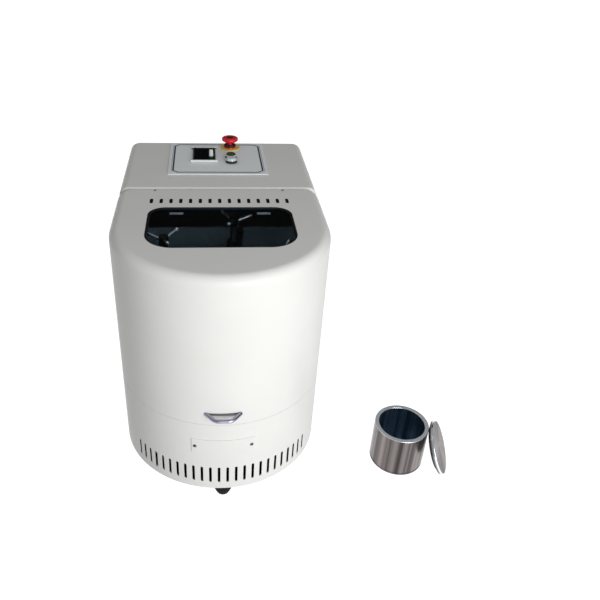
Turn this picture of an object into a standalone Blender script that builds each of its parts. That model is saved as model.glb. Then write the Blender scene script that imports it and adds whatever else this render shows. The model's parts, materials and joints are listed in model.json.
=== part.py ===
"""Laboratory ball mill: a planetary mill with a hinged hood, and one jar standing beside it.

The mill's own frame has x across, y from the front (minus) to the back (plus) and z up from
the floor. x = 0 is the middle plane, and x = y = 0 is the axis of the planetary drive.
All pieces hang from one empty, which puts the middle of the whole set's footprint at the
world origin.
"""

import math

import bmesh
import bpy
from mathutils import Matrix, Vector
from mathutils.geometry import tessellate_polygon

# Driving sizes, in metres.

# General clearances
GAP = 0.0003
RUNNING_GAP = 0.0003
OVERRUN = 0.004

# Body, seen in plan as a rectangle with a half-elliptic front
BODY_WIDTH = 0.470
FRONT_BULGE = 0.228
BODY_REAR = 0.522
REAR_CORNER_RADIUS = 0.027
FLOOR_CLEARANCE = 0.040
BASE_TOP = 0.236
BODY_TOP = 0.601
TOP_FILLET = 0.020
SHELL_WALL = 0.003
FRONT_FACETS = 30
CORNER_FACETS = 4
FILLET_FACETS = 4

# Base
BASE_FLANGE = 0.014
BASE_LIP = 0.012
BASE_PLATE_THICKNESS = 0.005
BASE_SLOT_COUNT = 24
BASE_SLOT_PITCH_ANGLE = math.radians(4.76)
BASE_SLOT_WIDTH = 0.006
BASE_SLOT_BOTTOM = 0.059
BASE_SLOT_TOP = 0.107
SLOT_END_FACETS = 3

# Cover over the base's front opening, for reaching the belt
ACCESS_WIDTH = 0.140
ACCESS_BOTTOM = 0.152
ACCESS_TOP = 0.192
ACCESS_THICKNESS = 0.0015
ACCESS_FACETS = 6

# Feet
FOOT_TOP_RADIUS = 0.0222
FOOT_BOTTOM_RADIUS = 0.015
FOOT_WAIST_HEIGHT = 0.026
FOOT_BOSS_RADIUS = 0.012
FRONT_FOOT_SETBACK = 0.029
REAR_FOOT_SIDE_INSET = 0.055
REAR_FOOT_SETBACK = 0.050
FOOT_FACETS = 16

# Hood (cover) and cabinet behind it
HOOD_REAR = 0.188
HOOD_GAP = 0.0015
SEAM_GAP = 0.0008
HOOD_REAR_CORNER_RADIUS = 0.032
SPLIT_FILLET = 0.006
CABINET_FRONT_CORNER_RADIUS = 0.006
HOOD_REAR_RETURN = 0.0185
HOOD_REAR_LIP = 0.030
CABINET_FRONT_RETURN = 0.012
CABINET_FRONT_LIP = 0.022
CABINET_REAR_PORT_INSET = 0.060
CABINET_REAR_PORT_BOTTOM = 0.300
CABINET_REAR_PORT_TOP = 0.540

# Openings in the hood's top
VENT_COUNT = 15
VENT_PITCH = 0.022
VENT_WIDTH = 0.006
VENT_LENGTH = 0.022
VENT_CENTRE_Y = 0.1175
WINDOW_HALF_WIDTH = 0.158
WINDOW_FRONT = -0.107
WINDOW_REAR = 0.083
WINDOW_REAR_RADIUS = 0.038
WINDOW_FRONT_RADIUS = 0.060
WINDOW_CORNER_FACETS = 6
PANE_OVERLAP = 0.012
PANE_THICKNESS = 0.004

# Hood handle
HANDLE_HEIGHT = 0.268
HANDLE_WALL_WIDTH = 0.074
HANDLE_BAR_WIDTH = 0.036
HANDLE_REACH = 0.026
HANDLE_ROD_RADIUS = 0.0045
HANDLE_PLATE_WIDTH = 0.096
HANDLE_PLATE_HEIGHT = 0.014
HANDLE_PLATE_THICKNESS = 0.003
HANDLE_BEND_FACETS = 4
ROD_FACETS = 8

# Hinges of the hood
HINGE_AXIS_INSET = 0.012
HINGE_AXIS_DEPTH = 0.010
HINGE_SPACING = 0.300
HINGE_PIN_RADIUS = 0.0025
HINGE_EYE_RADIUS = 0.0050
HINGE_ARM_THICKNESS = 0.004
HINGE_LEAF_THICKNESS = 0.003
HINGE_LEAF_LENGTH = 0.030
HINGE_BASE_HEIGHT = 0.030
HINGE_BASE_WIDTH = 0.030
HINGE_BASE_THICKNESS = 0.003
HINGE_NOTCH_DEPTH = 0.027
HINGE_PIN_HEAD = 0.0015
HINGE_SLOT_PLAY = 0.0008
HINGE_FACETS = 12
HINGE_EAR_START = math.radians(243)

# Sheet metal inside
DECK_THICKNESS = 0.006
DECK_INSET = 0.0065
BULKHEAD_Y = 0.2165
BULKHEAD_THICKNESS = 0.002
REAR_PANEL_THICKNESS = 0.0015
REAR_PANEL_OVERLAP = 0.010
REAR_SLOT_COUNT = 9
REAR_SLOT_PITCH = 0.016
REAR_SLOT_HEIGHT = 0.006
REAR_SLOT_WIDTH = 0.120
REAR_SLOT_START = 0.395

# Mains inlet on the rear panel
INLET_WIDTH = 0.050
INLET_HEIGHT = 0.028
INLET_FLANGE = 0.003
INLET_DEPTH = 0.022
INLET_WALL = 0.003
INLET_CENTRE_X = -0.110
INLET_CENTRE_Z = 0.345

# Planetary drive
STATION_COUNT = 4
FIRST_STATION_ANGLE = math.radians(75)
RING_SIDE_CLEARANCE = 0.02385
RING_FRONT_CLEARANCE = 0.01685
PLANET_TEETH = 24
RING_TEETH = 72
PRESSURE_ANGLE = math.radians(20)
DEDENDUM_SHARE = 1.25
TOOTH_PLAY = 0.0003
RING_RIM = 0.010
RING_OUTER_RADIUS = min(BODY_WIDTH / 2 - RING_SIDE_CLEARANCE, FRONT_BULGE - RING_FRONT_CLEARANCE)
GEAR_MODULE = (RING_OUTER_RADIUS - RING_RIM) / (RING_TEETH / 2 + DEDENDUM_SHARE)
RING_GEAR_HEIGHT = 0.024
PLANET_GEAR_LIFT = 0.008
PLANET_GEAR_HEIGHT = 0.014
CARRIER_BOTTOM = 0.284
CARRIER_THICKNESS = 0.016
CARRIER_RADIUS = 0.165
CARRIER_HUB_RADIUS = 0.036
CARRIER_HUB_DROP = 0.022
PLANET_SHAFT_RADIUS = 0.015
PLANET_FLANGE_RADIUS = 0.030
PLANET_FLANGE_THICKNESS = 0.006
PLANET_HUB_RADIUS = 0.024
RING_RIM_FACETS = 36
CIRCLE_FACETS = 20
SMALL_CIRCLE_FACETS = 12

# Main shaft and its bearing
MAIN_SHAFT_RADIUS = 0.014
BEARING_RADIUS = 0.031
BEARING_LENGTH = 0.060
HOUSING_RADIUS = 0.040
HOUSING_FLANGE_RADIUS = 0.052
HOUSING_FLANGE_THICKNESS = 0.006
HOUSING_BOTTOM = 0.168
HOUSING_FLOOR = 0.005
HOUSING_FLOOR_BORE = 0.020

# Belt drive
BELT_DISTANCE = 0.350
BELT_HEIGHT_CENTRE = 0.126
BELT_BACK_HALF_WIDTH = 0.0065
BELT_INNER_HALF_WIDTH = 0.0040
BELT_BACK = 0.003
BELT_INNER = 0.005
DRIVEN_PULLEY_RADIUS = 0.084
MOTOR_PULLEY_RADIUS = 0.042
PULLEY_EDGE = 0.005
PULLEY_RIM = 0.006
PULLEY_GROOVE_FLOOR = 0.002
PULLEY_HUB_RADIUS = 0.024
PULLEY_HUB_HEIGHT = 0.016
BIG_PULLEY_BELT_FACETS = 18
SMALL_PULLEY_BELT_FACETS = 14

# Motor, standing on the deck under the cabinet
MOTOR_RADIUS = 0.062
MOTOR_FLANGE_RADIUS = 0.074
MOTOR_FLANGE_THICKNESS = 0.010
MOTOR_HEIGHT = 0.190
MOTOR_FIN_COUNT = 10
MOTOR_FIN_DEPTH = 0.006
MOTOR_CAP_RADIUS = 0.060
MOTOR_CAP_HEIGHT = 0.030
MOTOR_SHAFT_RADIUS = 0.009
MOTOR_SHAFT_ENGAGEMENT = 0.030
MOTOR_DECK_BORE = 0.030

# Jar and its lid
JAR_RADIUS = 0.065
JAR_HEIGHT = 0.113
JAR_WALL = 0.010
JAR_FLOOR = 0.010
JAR_CHAMFER = 0.001
JAR_BOTTOM_CHAMFER = 0.0025
LID_THICKNESS = 0.009
LID_PLUG_HEIGHT = 0.005
LID_PLUG_PLAY = 0.0005
LID_CHAMFER = 0.0015
JAR_FACETS = 32
STATION_JAR_FACETS = 16

# Jar holder on each station
HOLDER_BASE_THICKNESS = 0.016
HOLDER_CUP_WALL = 0.005
HOLDER_CUP_HEIGHT = 0.027
HOLDER_CUP_PLAY = 0.0005
HOLDER_DISC_RADIUS = 0.0730
HOLDER_FACETS = 16
POST_DISTANCE = 0.0765
POST_RADIUS = 0.0055
POST_LUG_RADIUS = 0.0075
POST_NUT_RADIUS = 0.0078
POST_NUT_HEIGHT = 0.008
POST_TOP_STICKOUT = 0.003
LUG_FACETS = 3

# Clamp bridge and its star-handled screw
BRIDGE_BOTTOM_LIFT = 0.021
BRIDGE_HEIGHT = 0.016
BRIDGE_MIDDLE_RADIUS = 0.017
BRIDGE_END_RADIUS = 0.0078
SCREW_RADIUS = 0.009
SCREW_PAD_RADIUS = 0.014
SCREW_PAD_HEIGHT = 0.008
LOCK_NUT_RADIUS = 0.017
LOCK_NUT_HEIGHT = 0.011
STAR_HUB_LIFT = 0.038
STAR_HUB_RADIUS = 0.013
STAR_HUB_HEIGHT = 0.024
STAR_ARM_COUNT = 3
STAR_ARM_RADIUS = 0.0038
STAR_REACH = 0.046
STAR_BALL_RADIUS = 0.0065
STAR_ARM_FACETS = 6
SCREW_FACETS = 8
STAR_ANGLE = math.radians(195)

# Control panel on the cabinet's top
PANEL_WIDTH = 0.250
PANEL_FRONT = 0.2725
PANEL_LENGTH = 0.225
PANEL_THICKNESS = 0.002
PANEL_CORNER_RADIUS = 0.004
DISPLAY_CENTRE_X = -0.0345
DISPLAY_CENTRE_Y = 0.4025
DISPLAY_WIDTH = 0.064
DISPLAY_LENGTH = 0.097
DISPLAY_FRAME = 0.006
DISPLAY_HEIGHT = 0.005
DISPLAY_RECESS = 0.0015
DISPLAY_CORNER_RADIUS = 0.003
KNOB_X = -0.0165
KNOB_Y = 0.3770
KNOB_RADIUS = 0.0060
KNOB_TOP_RADIUS = 0.0048
KNOB_HEIGHT = 0.021
KNOB_SPINDLE_RADIUS = 0.002
KNOB_SPINDLE_DEPTH = 0.002
KNOB_FLUTES = 12
KNOB_FLUTE_DEPTH = 0.0005
BUTTON_X = 0.0355
STOP_BUTTON_Y = 0.355
START_BUTTON_Y = 0.386
ESTOP_Y = 0.462
BEZEL_RADIUS = 0.015
BEZEL_HEIGHT = 0.009
BEZEL_CHAMFER = 0.002
BEZEL_FLOOR = 0.0015
CAP_RADIUS = 0.0115
CAP_HEIGHT = 0.0065
CAP_TRAVEL = 0.004
CAP_CHAMFER = 0.001
ESTOP_RING_RADIUS = 0.0265
ESTOP_RING_THICKNESS = 0.002
ESTOP_NECK_RADIUS = 0.0160
ESTOP_NECK_HEIGHT = 0.010
ESTOP_STEM_RADIUS = 0.006
ESTOP_STEM_DEPTH = 0.004
ESTOP_STEM_BORE_DEPTH = 0.0088
ESTOP_HEAD_RADIUS = 0.022
ESTOP_HEAD_HEIGHT = 0.012
ESTOP_HEAD_EDGE = 0.004
ESTOP_HEAD_LIFT = 0.005
ESTOP_DISH_RADIUS = 0.010
ESTOP_DISH_DEPTH = 0.001
CONTROL_FACETS = 20

# Where the loose jar stands, and how its lid leans on it
LOOSE_JAR_X = 0.440
LOOSE_JAR_Y = -0.110
LID_LEAN = math.radians(24)
LID_SIDE_ANGLE = math.radians(-20)

# Heights that follow from the sizes above
ORBIT_RADIUS = GEAR_MODULE * (RING_TEETH - PLANET_TEETH) / 2
DECK_BOTTOM = BASE_TOP + GAP
DECK_TOP = DECK_BOTTOM + DECK_THICKNESS
HOOD_BOTTOM = BASE_TOP + SEAM_GAP
TOP_UNDERSIDE = BODY_TOP - SHELL_WALL
CABINET_FRONT = HOOD_REAR + HOOD_GAP
CARRIER_TOP = CARRIER_BOTTOM + CARRIER_THICKNESS
PLANET_GEAR_BOTTOM = DECK_TOP + PLANET_GEAR_LIFT
FLANGE_BOTTOM = CARRIER_TOP + GAP
HOLDER_BOTTOM = FLANGE_BOTTOM + PLANET_FLANGE_THICKNESS + GAP
JAR_BOTTOM = HOLDER_BOTTOM + HOLDER_BASE_THICKNESS + GAP
JAR_TOP = JAR_BOTTOM + JAR_HEIGHT
LID_UNDERSIDE = JAR_TOP + GAP
LID_TOP = LID_UNDERSIDE + LID_THICKNESS
BRIDGE_BOTTOM = LID_TOP + BRIDGE_BOTTOM_LIFT
BRIDGE_TOP = BRIDGE_BOTTOM + BRIDGE_HEIGHT
STAR_HUB_BOTTOM = BRIDGE_TOP + STAR_HUB_LIFT
PANEL_BOTTOM = BODY_TOP + GAP
PANEL_TOP = PANEL_BOTTOM + PANEL_THICKNESS
CONTROL_BASE = PANEL_TOP + GAP
HINGE_Y = HOOD_REAR - HINGE_AXIS_INSET
HINGE_Z = BODY_TOP - HINGE_AXIS_DEPTH
BELT_ARM = Vector((0, BELT_DISTANCE, 0))
PLUG_RADIUS = JAR_RADIUS - JAR_WALL - LID_PLUG_PLAY


# Scene, materials and objects

def clear_scene():
    """Remove whatever objects the file holds before the model is built."""
    for old in list(bpy.data.objects):
        bpy.data.objects.remove(old, do_unlink=True)


def make_material(name, colour, roughness, metallic):
    """A plain Principled finish."""
    finish = bpy.data.materials.new(name)
    finish.use_nodes = True
    shader = finish.node_tree.nodes["Principled BSDF"]
    shader.inputs["Base Color"].default_value = (*colour, 1)
    shader.inputs["Roughness"].default_value = roughness
    shader.inputs["Metallic"].default_value = metallic
    finish.diffuse_color = (*colour, 1)
    return finish


def make_materials():
    """The finishes of the whole set, by name."""
    looks = {
        "enamel": ((0.80, 0.80, 0.78), 0.35, 0.0),
        "grey_enamel": ((0.45, 0.43, 0.40), 0.45, 0.0),
        "plated_steel": ((0.52, 0.53, 0.54), 0.40, 1.0),
        "dark_steel": ((0.10, 0.11, 0.12), 0.45, 0.8),
        "stainless": ((0.42, 0.40, 0.40), 0.25, 1.0),
        "chrome": ((0.80, 0.81, 0.83), 0.10, 1.0),
        "smoked_glass": ((0.02, 0.03, 0.04), 0.08, 0.0),
        "black_plastic": ((0.02, 0.02, 0.02), 0.40, 0.0),
        "rubber": ((0.03, 0.03, 0.03), 0.70, 0.0),
        "panel_sheet": ((0.48, 0.50, 0.50), 0.40, 0.3),
        "red_plastic": ((0.60, 0.02, 0.02), 0.30, 0.0),
        "yellow_plastic": ((0.75, 0.55, 0.03), 0.40, 0.0),
        "green_plastic": ((0.01, 0.12, 0.05), 0.30, 0.0),
        "white_plastic": ((0.75, 0.77, 0.78), 0.35, 0.0),
        "motor_blue": ((0.06, 0.13, 0.22), 0.45, 0.2),
        "cast_housing": ((0.20, 0.21, 0.22), 0.60, 0.7),
    }
    return {name: make_material(name, *look) for name, look in looks.items()}


def add_piece(name, mesh, finish, frame, place=(0, 0, 0), turn=0.0, smooth_angle=32):
    """Put a mesh into the scene as one named piece, hung from the frame empty."""
    piece = bpy.data.objects.new(name, mesh)
    if not mesh.materials:
        mesh.materials.append(finish)
    bpy.context.scene.collection.objects.link(piece)
    piece.location = place
    piece.rotation_euler.z = turn
    piece.parent = frame
    mesh.shade_smooth()
    mesh.set_sharp_from_angle(angle=math.radians(smooth_angle))
    return piece


# Mesh helpers

def finish_mesh(bm, name="mesh"):
    """Close a bmesh into a mesh whose faces all point outwards."""
    bmesh.ops.recalc_face_normals(bm, faces=bm.faces)
    mesh = bpy.data.meshes.new(name)
    bm.to_mesh(mesh)
    bm.free()
    return mesh


def arc(centre_x, centre_y, radius_x, radius_y, start, end, steps):
    """Points along an elliptic arc, both ends included."""
    return [(centre_x + radius_x * math.cos(start + (end - start) * step / steps),
             centre_y + radius_y * math.sin(start + (end - start) * step / steps))
            for step in range(steps + 1)]


def circle(radius, facets, centre=(0, 0)):
    """Points of a whole circle, the first one at +x."""
    return [(centre[0] + radius * math.cos(math.tau * step / facets),
             centre[1] + radius * math.sin(math.tau * step / facets))
            for step in range(facets)]


def clear_bore(radius, facets):
    """A faceted bore's corner radius, such that its flats still clear a shaft of this radius."""
    return (radius + RUNNING_GAP) / math.cos(math.pi / facets)


def loft(rings, closed_chain=False):
    """Skin a chain of equal rings, and cap its two ends unless the chain is closed."""
    bm = bmesh.new()
    rows = [[bm.verts.new(point) for point in ring] for ring in rings]
    pairs = list(zip(rows, rows[1:]))
    if closed_chain:
        pairs.append((rows[-1], rows[0]))
    for lower, upper in pairs:
        for index in range(len(lower)):
            following = (index + 1) % len(lower)
            bm.faces.new((lower[index], lower[following], upper[following], upper[index]))
    if not closed_chain:
        bm.faces.new(rows[0])
        bm.faces.new(rows[-1])
    return finish_mesh(bm)


def level(points, height):
    """Lift flat points to a height."""
    return [(point[0], point[1], height) for point in points]


def revolve(profile, facets):
    """Turn a closed (radius, height) profile about z; a radius of zero makes a pole."""
    bm = bmesh.new()
    rows = []
    for radius, height in profile:
        if radius == 0:
            rows.append([bm.verts.new((0, 0, height))])
        else:
            rows.append([bm.verts.new(point) for point in level(circle(radius, facets), height)])
    for first, second in zip(rows, rows[1:] + rows[:1]):
        if len(first) == 1 and len(second) == 1:
            continue
        for index in range(facets):
            following = (index + 1) % facets
            if len(first) == 1:
                bm.faces.new((first[0], second[following], second[index]))
            elif len(second) == 1:
                bm.faces.new((first[index], first[following], second[0]))
            else:
                bm.faces.new((first[index], first[following], second[following], second[index]))
    return finish_mesh(bm)


def plate(outline, bottom, top, holes=()):
    """A flat plate between two heights, with holes right through it."""
    loops = [list(outline)] + [list(hole) for hole in holes]
    points = [point for loop in loops for point in loop]
    triangles = tessellate_polygon([[Vector((x, y, 0)) for x, y in loop] for loop in loops])
    bm = bmesh.new()
    low = [bm.verts.new((x, y, bottom)) for x, y in points]
    high = [bm.verts.new((x, y, top)) for x, y in points]
    for triangle in triangles:
        bm.faces.new([high[index] for index in triangle])
        bm.faces.new([low[index] for index in reversed(triangle)])
    start = 0
    for loop in loops:
        for index in range(len(loop)):
            here = start + index
            there = start + (index + 1) % len(loop)
            bm.faces.new((low[here], low[there], high[there], high[here]))
        start += len(loop)
    return finish_mesh(bm)


def rectangle(half_x, half_y, centre=(0, 0)):
    """Four corners of a rectangle."""
    return [(centre[0] - half_x, centre[1] - half_y), (centre[0] + half_x, centre[1] - half_y),
            (centre[0] + half_x, centre[1] + half_y), (centre[0] - half_x, centre[1] + half_y)]


def rounded_rectangle(left, right, front, rear, front_radius, rear_radius, facets):
    """A rectangle whose front and rear corners have their own radii."""
    quarter = math.pi / 2
    return (arc(left + front_radius, front + front_radius, front_radius, front_radius,
                math.pi, math.pi + quarter, facets)
            + arc(right - front_radius, front + front_radius, front_radius, front_radius,
                  math.pi + quarter, math.tau, facets)
            + arc(right - rear_radius, rear - rear_radius, rear_radius, rear_radius,
                  0, quarter, facets)
            + arc(left + rear_radius, rear - rear_radius, rear_radius, rear_radius,
                  quarter, math.pi, facets))


def slot_outline(half_x, half_y, centre, facets):
    """A slot with round ends, long in y."""
    straight = half_y - half_x
    return (arc(centre[0], centre[1] + straight, half_x, half_x, 0, math.pi, facets)
            + arc(centre[0], centre[1] - straight, half_x, half_x, math.pi, math.tau, facets))


def lug_outline(middle_radius, distance, end_radius, facets, end_facets):
    """A disc with two smaller lugs at plus and minus distance on x, joined by tangents."""
    lean = math.acos((middle_radius - end_radius) / distance)
    return (arc(distance, 0, end_radius, end_radius, -lean, lean, end_facets)
            + arc(0, 0, middle_radius, middle_radius, lean, math.pi - lean, facets)
            + arc(-distance, 0, end_radius, end_radius, math.pi - lean, math.pi + lean, end_facets)
            + arc(0, 0, middle_radius, middle_radius, math.pi + lean, math.tau - lean, facets))


def moved(mesh, matrix):
    """Move a mesh's points by a matrix and hand it back."""
    mesh.transform(matrix)
    return mesh


def joined(meshes):
    """Several meshes as one, for use as a cutter or an added tool."""
    bm = bmesh.new()
    for mesh in meshes:
        bm.from_mesh(mesh)
    return finish_mesh(bm)


def combined(body, tool, operation):
    """Cut a tool mesh from a body mesh, or add it, and return the new mesh."""
    body_object = bpy.data.objects.new("body", body)
    tool_object = bpy.data.objects.new("tool", tool)
    for helper in (body_object, tool_object):
        bpy.context.scene.collection.objects.link(helper)
    modifier = body_object.modifiers.new("work", "BOOLEAN")
    modifier.operation = operation
    modifier.object = tool_object
    modifier.solver = "EXACT"
    bpy.context.view_layer.update()
    shaped = body_object.evaluated_get(bpy.context.evaluated_depsgraph_get())
    result = bpy.data.meshes.new_from_object(shaped)
    for helper in (body_object, tool_object):
        bpy.data.objects.remove(helper, do_unlink=True)
    result.materials.clear()
    return result


def cut(body, tools):
    """Take several tool meshes away from a body."""
    return combined(body, joined(tools), "DIFFERENCE")


def add(body, tools):
    """Fuse several tool meshes, which don't touch each other, with a body."""
    return combined(body, joined(tools), "UNION")


def rod(points, radius, facets):
    """A round rod along a path of points, its sections square to the path."""
    rings = []
    for index, point in enumerate(points):
        before = Vector(points[max(index - 1, 0)])
        after = Vector(points[min(index + 1, len(points) - 1)])
        along = (after - before).normalized()
        side = along.cross(Vector((0, 0, 1)))
        if side.length < abs(along.z):
            side = Vector((1, 0, 0))
        side.normalize()
        up = side.cross(along)
        rings.append([Vector(point) + radius * (math.cos(math.tau * step / facets) * side
                                                + math.sin(math.tau * step / facets) * up)
                      for step in range(facets)])
    return loft(rings)


def ball(radius, centre, facets):
    """A faceted ball."""
    half = facets // 2
    profile = [(0, -radius)]
    profile += [(radius * math.sin(math.pi * step / half), -radius * math.cos(math.pi * step / half))
                for step in range(1, half)]
    profile.append((0, radius))
    return moved(revolve(profile, facets), Matrix.Translation(centre))


# Outlines of the body

def body_outline(inset, rear, rear_radius, rear_inset=None):
    """The body's plan, a straight-sided rear and a half-elliptic front, drawn in by an inset."""
    rear_inset = inset if rear_inset is None else rear_inset
    half = BODY_WIDTH / 2 - inset
    radius = max(rear_radius - inset, SHELL_WALL / 2)
    back = rear - rear_inset
    front = arc(0, 0, half, FRONT_BULGE - inset, math.pi, math.tau, FRONT_FACETS)
    right = arc(half - radius, back - radius, radius, radius, 0, math.pi / 2, CORNER_FACETS)
    left = arc(radius - half, back - radius, radius, radius, math.pi / 2, math.pi, CORNER_FACETS)
    return front + right + left


def cabinet_outline(inset, front_inset):
    """The cabinet's plan: a rectangle with larger corners at the back."""
    half = BODY_WIDTH / 2 - inset
    smallest = SHELL_WALL / 2
    return rounded_rectangle(-half, half, CABINET_FRONT + front_inset, BODY_REAR - inset,
                             max(CABINET_FRONT_CORNER_RADIUS - front_inset, smallest),
                             max(REAR_CORNER_RADIUS - inset, smallest), CORNER_FACETS)


def fillet_steps():
    """The (drawn in, height, share of a small fillet) of each ring over the top edge."""
    steps = []
    for step in range(FILLET_FACETS + 1):
        angle = math.pi / 2 * step / FILLET_FACETS
        steps.append((TOP_FILLET * (1 - math.cos(angle)),
                      BODY_TOP - TOP_FILLET + TOP_FILLET * math.sin(angle),
                      1 - math.cos(angle)))
    return steps


# Base

def build_base(frame, looks):
    """Skirt, floor plate, front access plate and feet."""
    section = [(0, FLOOR_CLEARANCE), (0, BASE_TOP), (BASE_FLANGE, BASE_TOP),
               (BASE_FLANGE, BASE_TOP - SHELL_WALL), (SHELL_WALL, BASE_TOP - SHELL_WALL),
               (SHELL_WALL, FLOOR_CLEARANCE + SHELL_WALL), (BASE_LIP, FLOOR_CLEARANCE + SHELL_WALL),
               (BASE_LIP, FLOOR_CLEARANCE)]
    skirt = loft([level(body_outline(inset, BODY_REAR, REAR_CORNER_RADIUS), height)
                  for inset, height in section], closed_chain=True)
    slot_height = BASE_SLOT_TOP - BASE_SLOT_BOTTOM
    slot_middle = (BASE_SLOT_TOP + BASE_SLOT_BOTTOM) / 2
    slot = slot_outline(BASE_SLOT_WIDTH / 2, slot_height / 2, (0, 0), SLOT_END_FACETS)
    cutters = []
    for index in range(BASE_SLOT_COUNT):
        steps_from_middle = index - (BASE_SLOT_COUNT - 1) / 2
        angle = -math.pi / 2 + steps_from_middle * BASE_SLOT_PITCH_ANGLE
        spot = Vector((BODY_WIDTH / 2 * math.cos(angle), FRONT_BULGE * math.sin(angle), slot_middle))
        cutter = plate(slot, -SHELL_WALL - OVERRUN, OVERRUN)
        upright = Matrix.Rotation(angle + math.pi / 2, 4, "Z") @ Matrix.Rotation(math.pi / 2, 4, "X")
        cutters.append(moved(cutter, Matrix.Translation(spot) @ upright))
    add_piece("base_skirt", cut(skirt, cutters), looks["enamel"], frame)

    floor_bottom = FLOOR_CLEARANCE + SHELL_WALL + GAP
    floor = plate(body_outline(SHELL_WALL + GAP, BODY_REAR, REAR_CORNER_RADIUS),
                  floor_bottom, floor_bottom + BASE_PLATE_THICKNESS)
    add_piece("base_plate", floor, looks["plated_steel"], frame)

    add_piece("access_plate", access_plate_mesh(), looks["enamel"], frame)

    shoulder = FLOOR_CLEARANCE - GAP
    boss_top = floor_bottom - GAP
    foot = revolve([(0, 0), (FOOT_BOTTOM_RADIUS, 0), (FOOT_TOP_RADIUS, FOOT_WAIST_HEIGHT),
                    (FOOT_TOP_RADIUS, shoulder), (FOOT_BOSS_RADIUS, shoulder),
                    (FOOT_BOSS_RADIUS, boss_top), (0, boss_top)], FOOT_FACETS)
    side = BODY_WIDTH / 2 - REAR_FOOT_SIDE_INSET
    rear = BODY_REAR - REAR_FOOT_SETBACK
    places = {"front_foot": (0, FRONT_FOOT_SETBACK - FRONT_BULGE, 0),
              "rear_left_foot": (-side, rear, 0), "rear_right_foot": (side, rear, 0)}
    for name, place in places.items():
        add_piece(name, foot, looks["rubber"], frame, place)


def access_plate_mesh():
    """A plate that hugs the curved front of the skirt."""
    half_angle = math.asin(ACCESS_WIDTH / BODY_WIDTH)
    rings = []
    for step in range(ACCESS_FACETS + 1):
        angle = -math.pi / 2 - half_angle + 2 * half_angle * step / ACCESS_FACETS
        across, along = math.cos(angle), math.sin(angle)
        section = [(GAP, ACCESS_BOTTOM), (GAP + ACCESS_THICKNESS, ACCESS_BOTTOM),
                   (GAP + ACCESS_THICKNESS, ACCESS_TOP), (GAP, ACCESS_TOP)]
        rings.append([((BODY_WIDTH / 2 + out) * across, (FRONT_BULGE + out) * along, height)
                      for out, height in section])
    return loft(rings)


# Hood

def build_hood(frame, looks):
    """The hinged hood with its window, vents, handle and hinge leaves."""
    pivot = Vector((0, HINGE_Y, HINGE_Z))
    to_pivot = Matrix.Translation(-pivot)
    outer = [level(body_outline(0, HOOD_REAR, HOOD_REAR_CORNER_RADIUS, 0), HOOD_BOTTOM)]
    for inset, height, share in fillet_steps():
        outer.append(level(body_outline(inset, HOOD_REAR, HOOD_REAR_CORNER_RADIUS,
                                        SPLIT_FILLET * share), height))
    inner_low = body_outline(SHELL_WALL, HOOD_REAR, HOOD_REAR_CORNER_RADIUS)
    inner_high = body_outline(TOP_FILLET / 2, HOOD_REAR, HOOD_REAR_CORNER_RADIUS,
                              SHELL_WALL + SPLIT_FILLET / 2)
    inner = [level(inner_low, HOOD_BOTTOM), level(inner_low, BODY_TOP - TOP_FILLET),
             level(inner_high, TOP_UNDERSIDE)]
    shell = loft(list(reversed(outer)) + inner)

    cutters = []
    for index in range(VENT_COUNT):
        across = (index - (VENT_COUNT - 1) / 2) * VENT_PITCH
        vent = slot_outline(VENT_WIDTH / 2, VENT_LENGTH / 2, (across, VENT_CENTRE_Y), SLOT_END_FACETS)
        cutters.append(plate(vent, TOP_UNDERSIDE - OVERRUN, BODY_TOP + OVERRUN))
    cutters.append(plate(window_outline(0), TOP_UNDERSIDE - OVERRUN, BODY_TOP + OVERRUN))
    opening_half = BODY_WIDTH / 2 - HOOD_REAR_RETURN
    rear_reach = HOOD_REAR_CORNER_RADIUS / 2
    cutters.append(plate(rectangle(opening_half, rear_reach, (0, HOOD_REAR)),
                         HOOD_BOTTOM - OVERRUN, BODY_TOP - HOOD_REAR_LIP))
    shell = cut(shell, cutters)
    deck_cut = plate(rectangle(BODY_WIDTH / 2 - SHELL_WALL, HOOD_REAR_CORNER_RADIUS, (0, HOOD_REAR)),
                     HOOD_BOTTOM - OVERRUN, DECK_TOP + SEAM_GAP)
    shell = cut(shell, [deck_cut])
    notches = [plate(rectangle(hinge_slot_half_width(), HINGE_NOTCH_DEPTH / 2,
                               (side * HINGE_SPACING / 2, HOOD_REAR)),
                     BODY_TOP - HOOD_REAR_LIP - OVERRUN, BODY_TOP + OVERRUN) for side in (-1, 1)]
    shell = cut(shell, notches)
    add_piece("hood_shell", moved(shell, to_pivot), looks["enamel"], frame, pivot)

    pane_top = TOP_UNDERSIDE - GAP
    pane = plate(window_outline(PANE_OVERLAP), pane_top - PANE_THICKNESS, pane_top)
    add_piece("window_pane", moved(pane, to_pivot), looks["smoked_glass"], frame, pivot)

    add_piece("hood_handle", moved(handle_mesh(), to_pivot), looks["chrome"], frame, pivot)

    for name, side in (("left_hinge_leaf", -1), ("right_hinge_leaf", 1)):
        leaf = moved(hinge_leaf_mesh(), Matrix.Translation((side * HINGE_SPACING / 2, 0, 0)))
        add_piece(name, leaf, looks["plated_steel"], frame, pivot)


def hinge_slot_half_width():
    """Half the width of the slots that let the hinge arms through the sheet edges."""
    return HINGE_ARM_THICKNESS / 2 + HINGE_SLOT_PLAY


def window_outline(overlap):
    """The window opening, or the pane that reaches under its edge by an overlap."""
    return rounded_rectangle(-WINDOW_HALF_WIDTH - overlap, WINDOW_HALF_WIDTH + overlap,
                             WINDOW_FRONT - overlap, WINDOW_REAR + overlap,
                             WINDOW_FRONT_RADIUS + overlap, WINDOW_REAR_RADIUS + overlap,
                             WINDOW_CORNER_FACETS)


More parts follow.
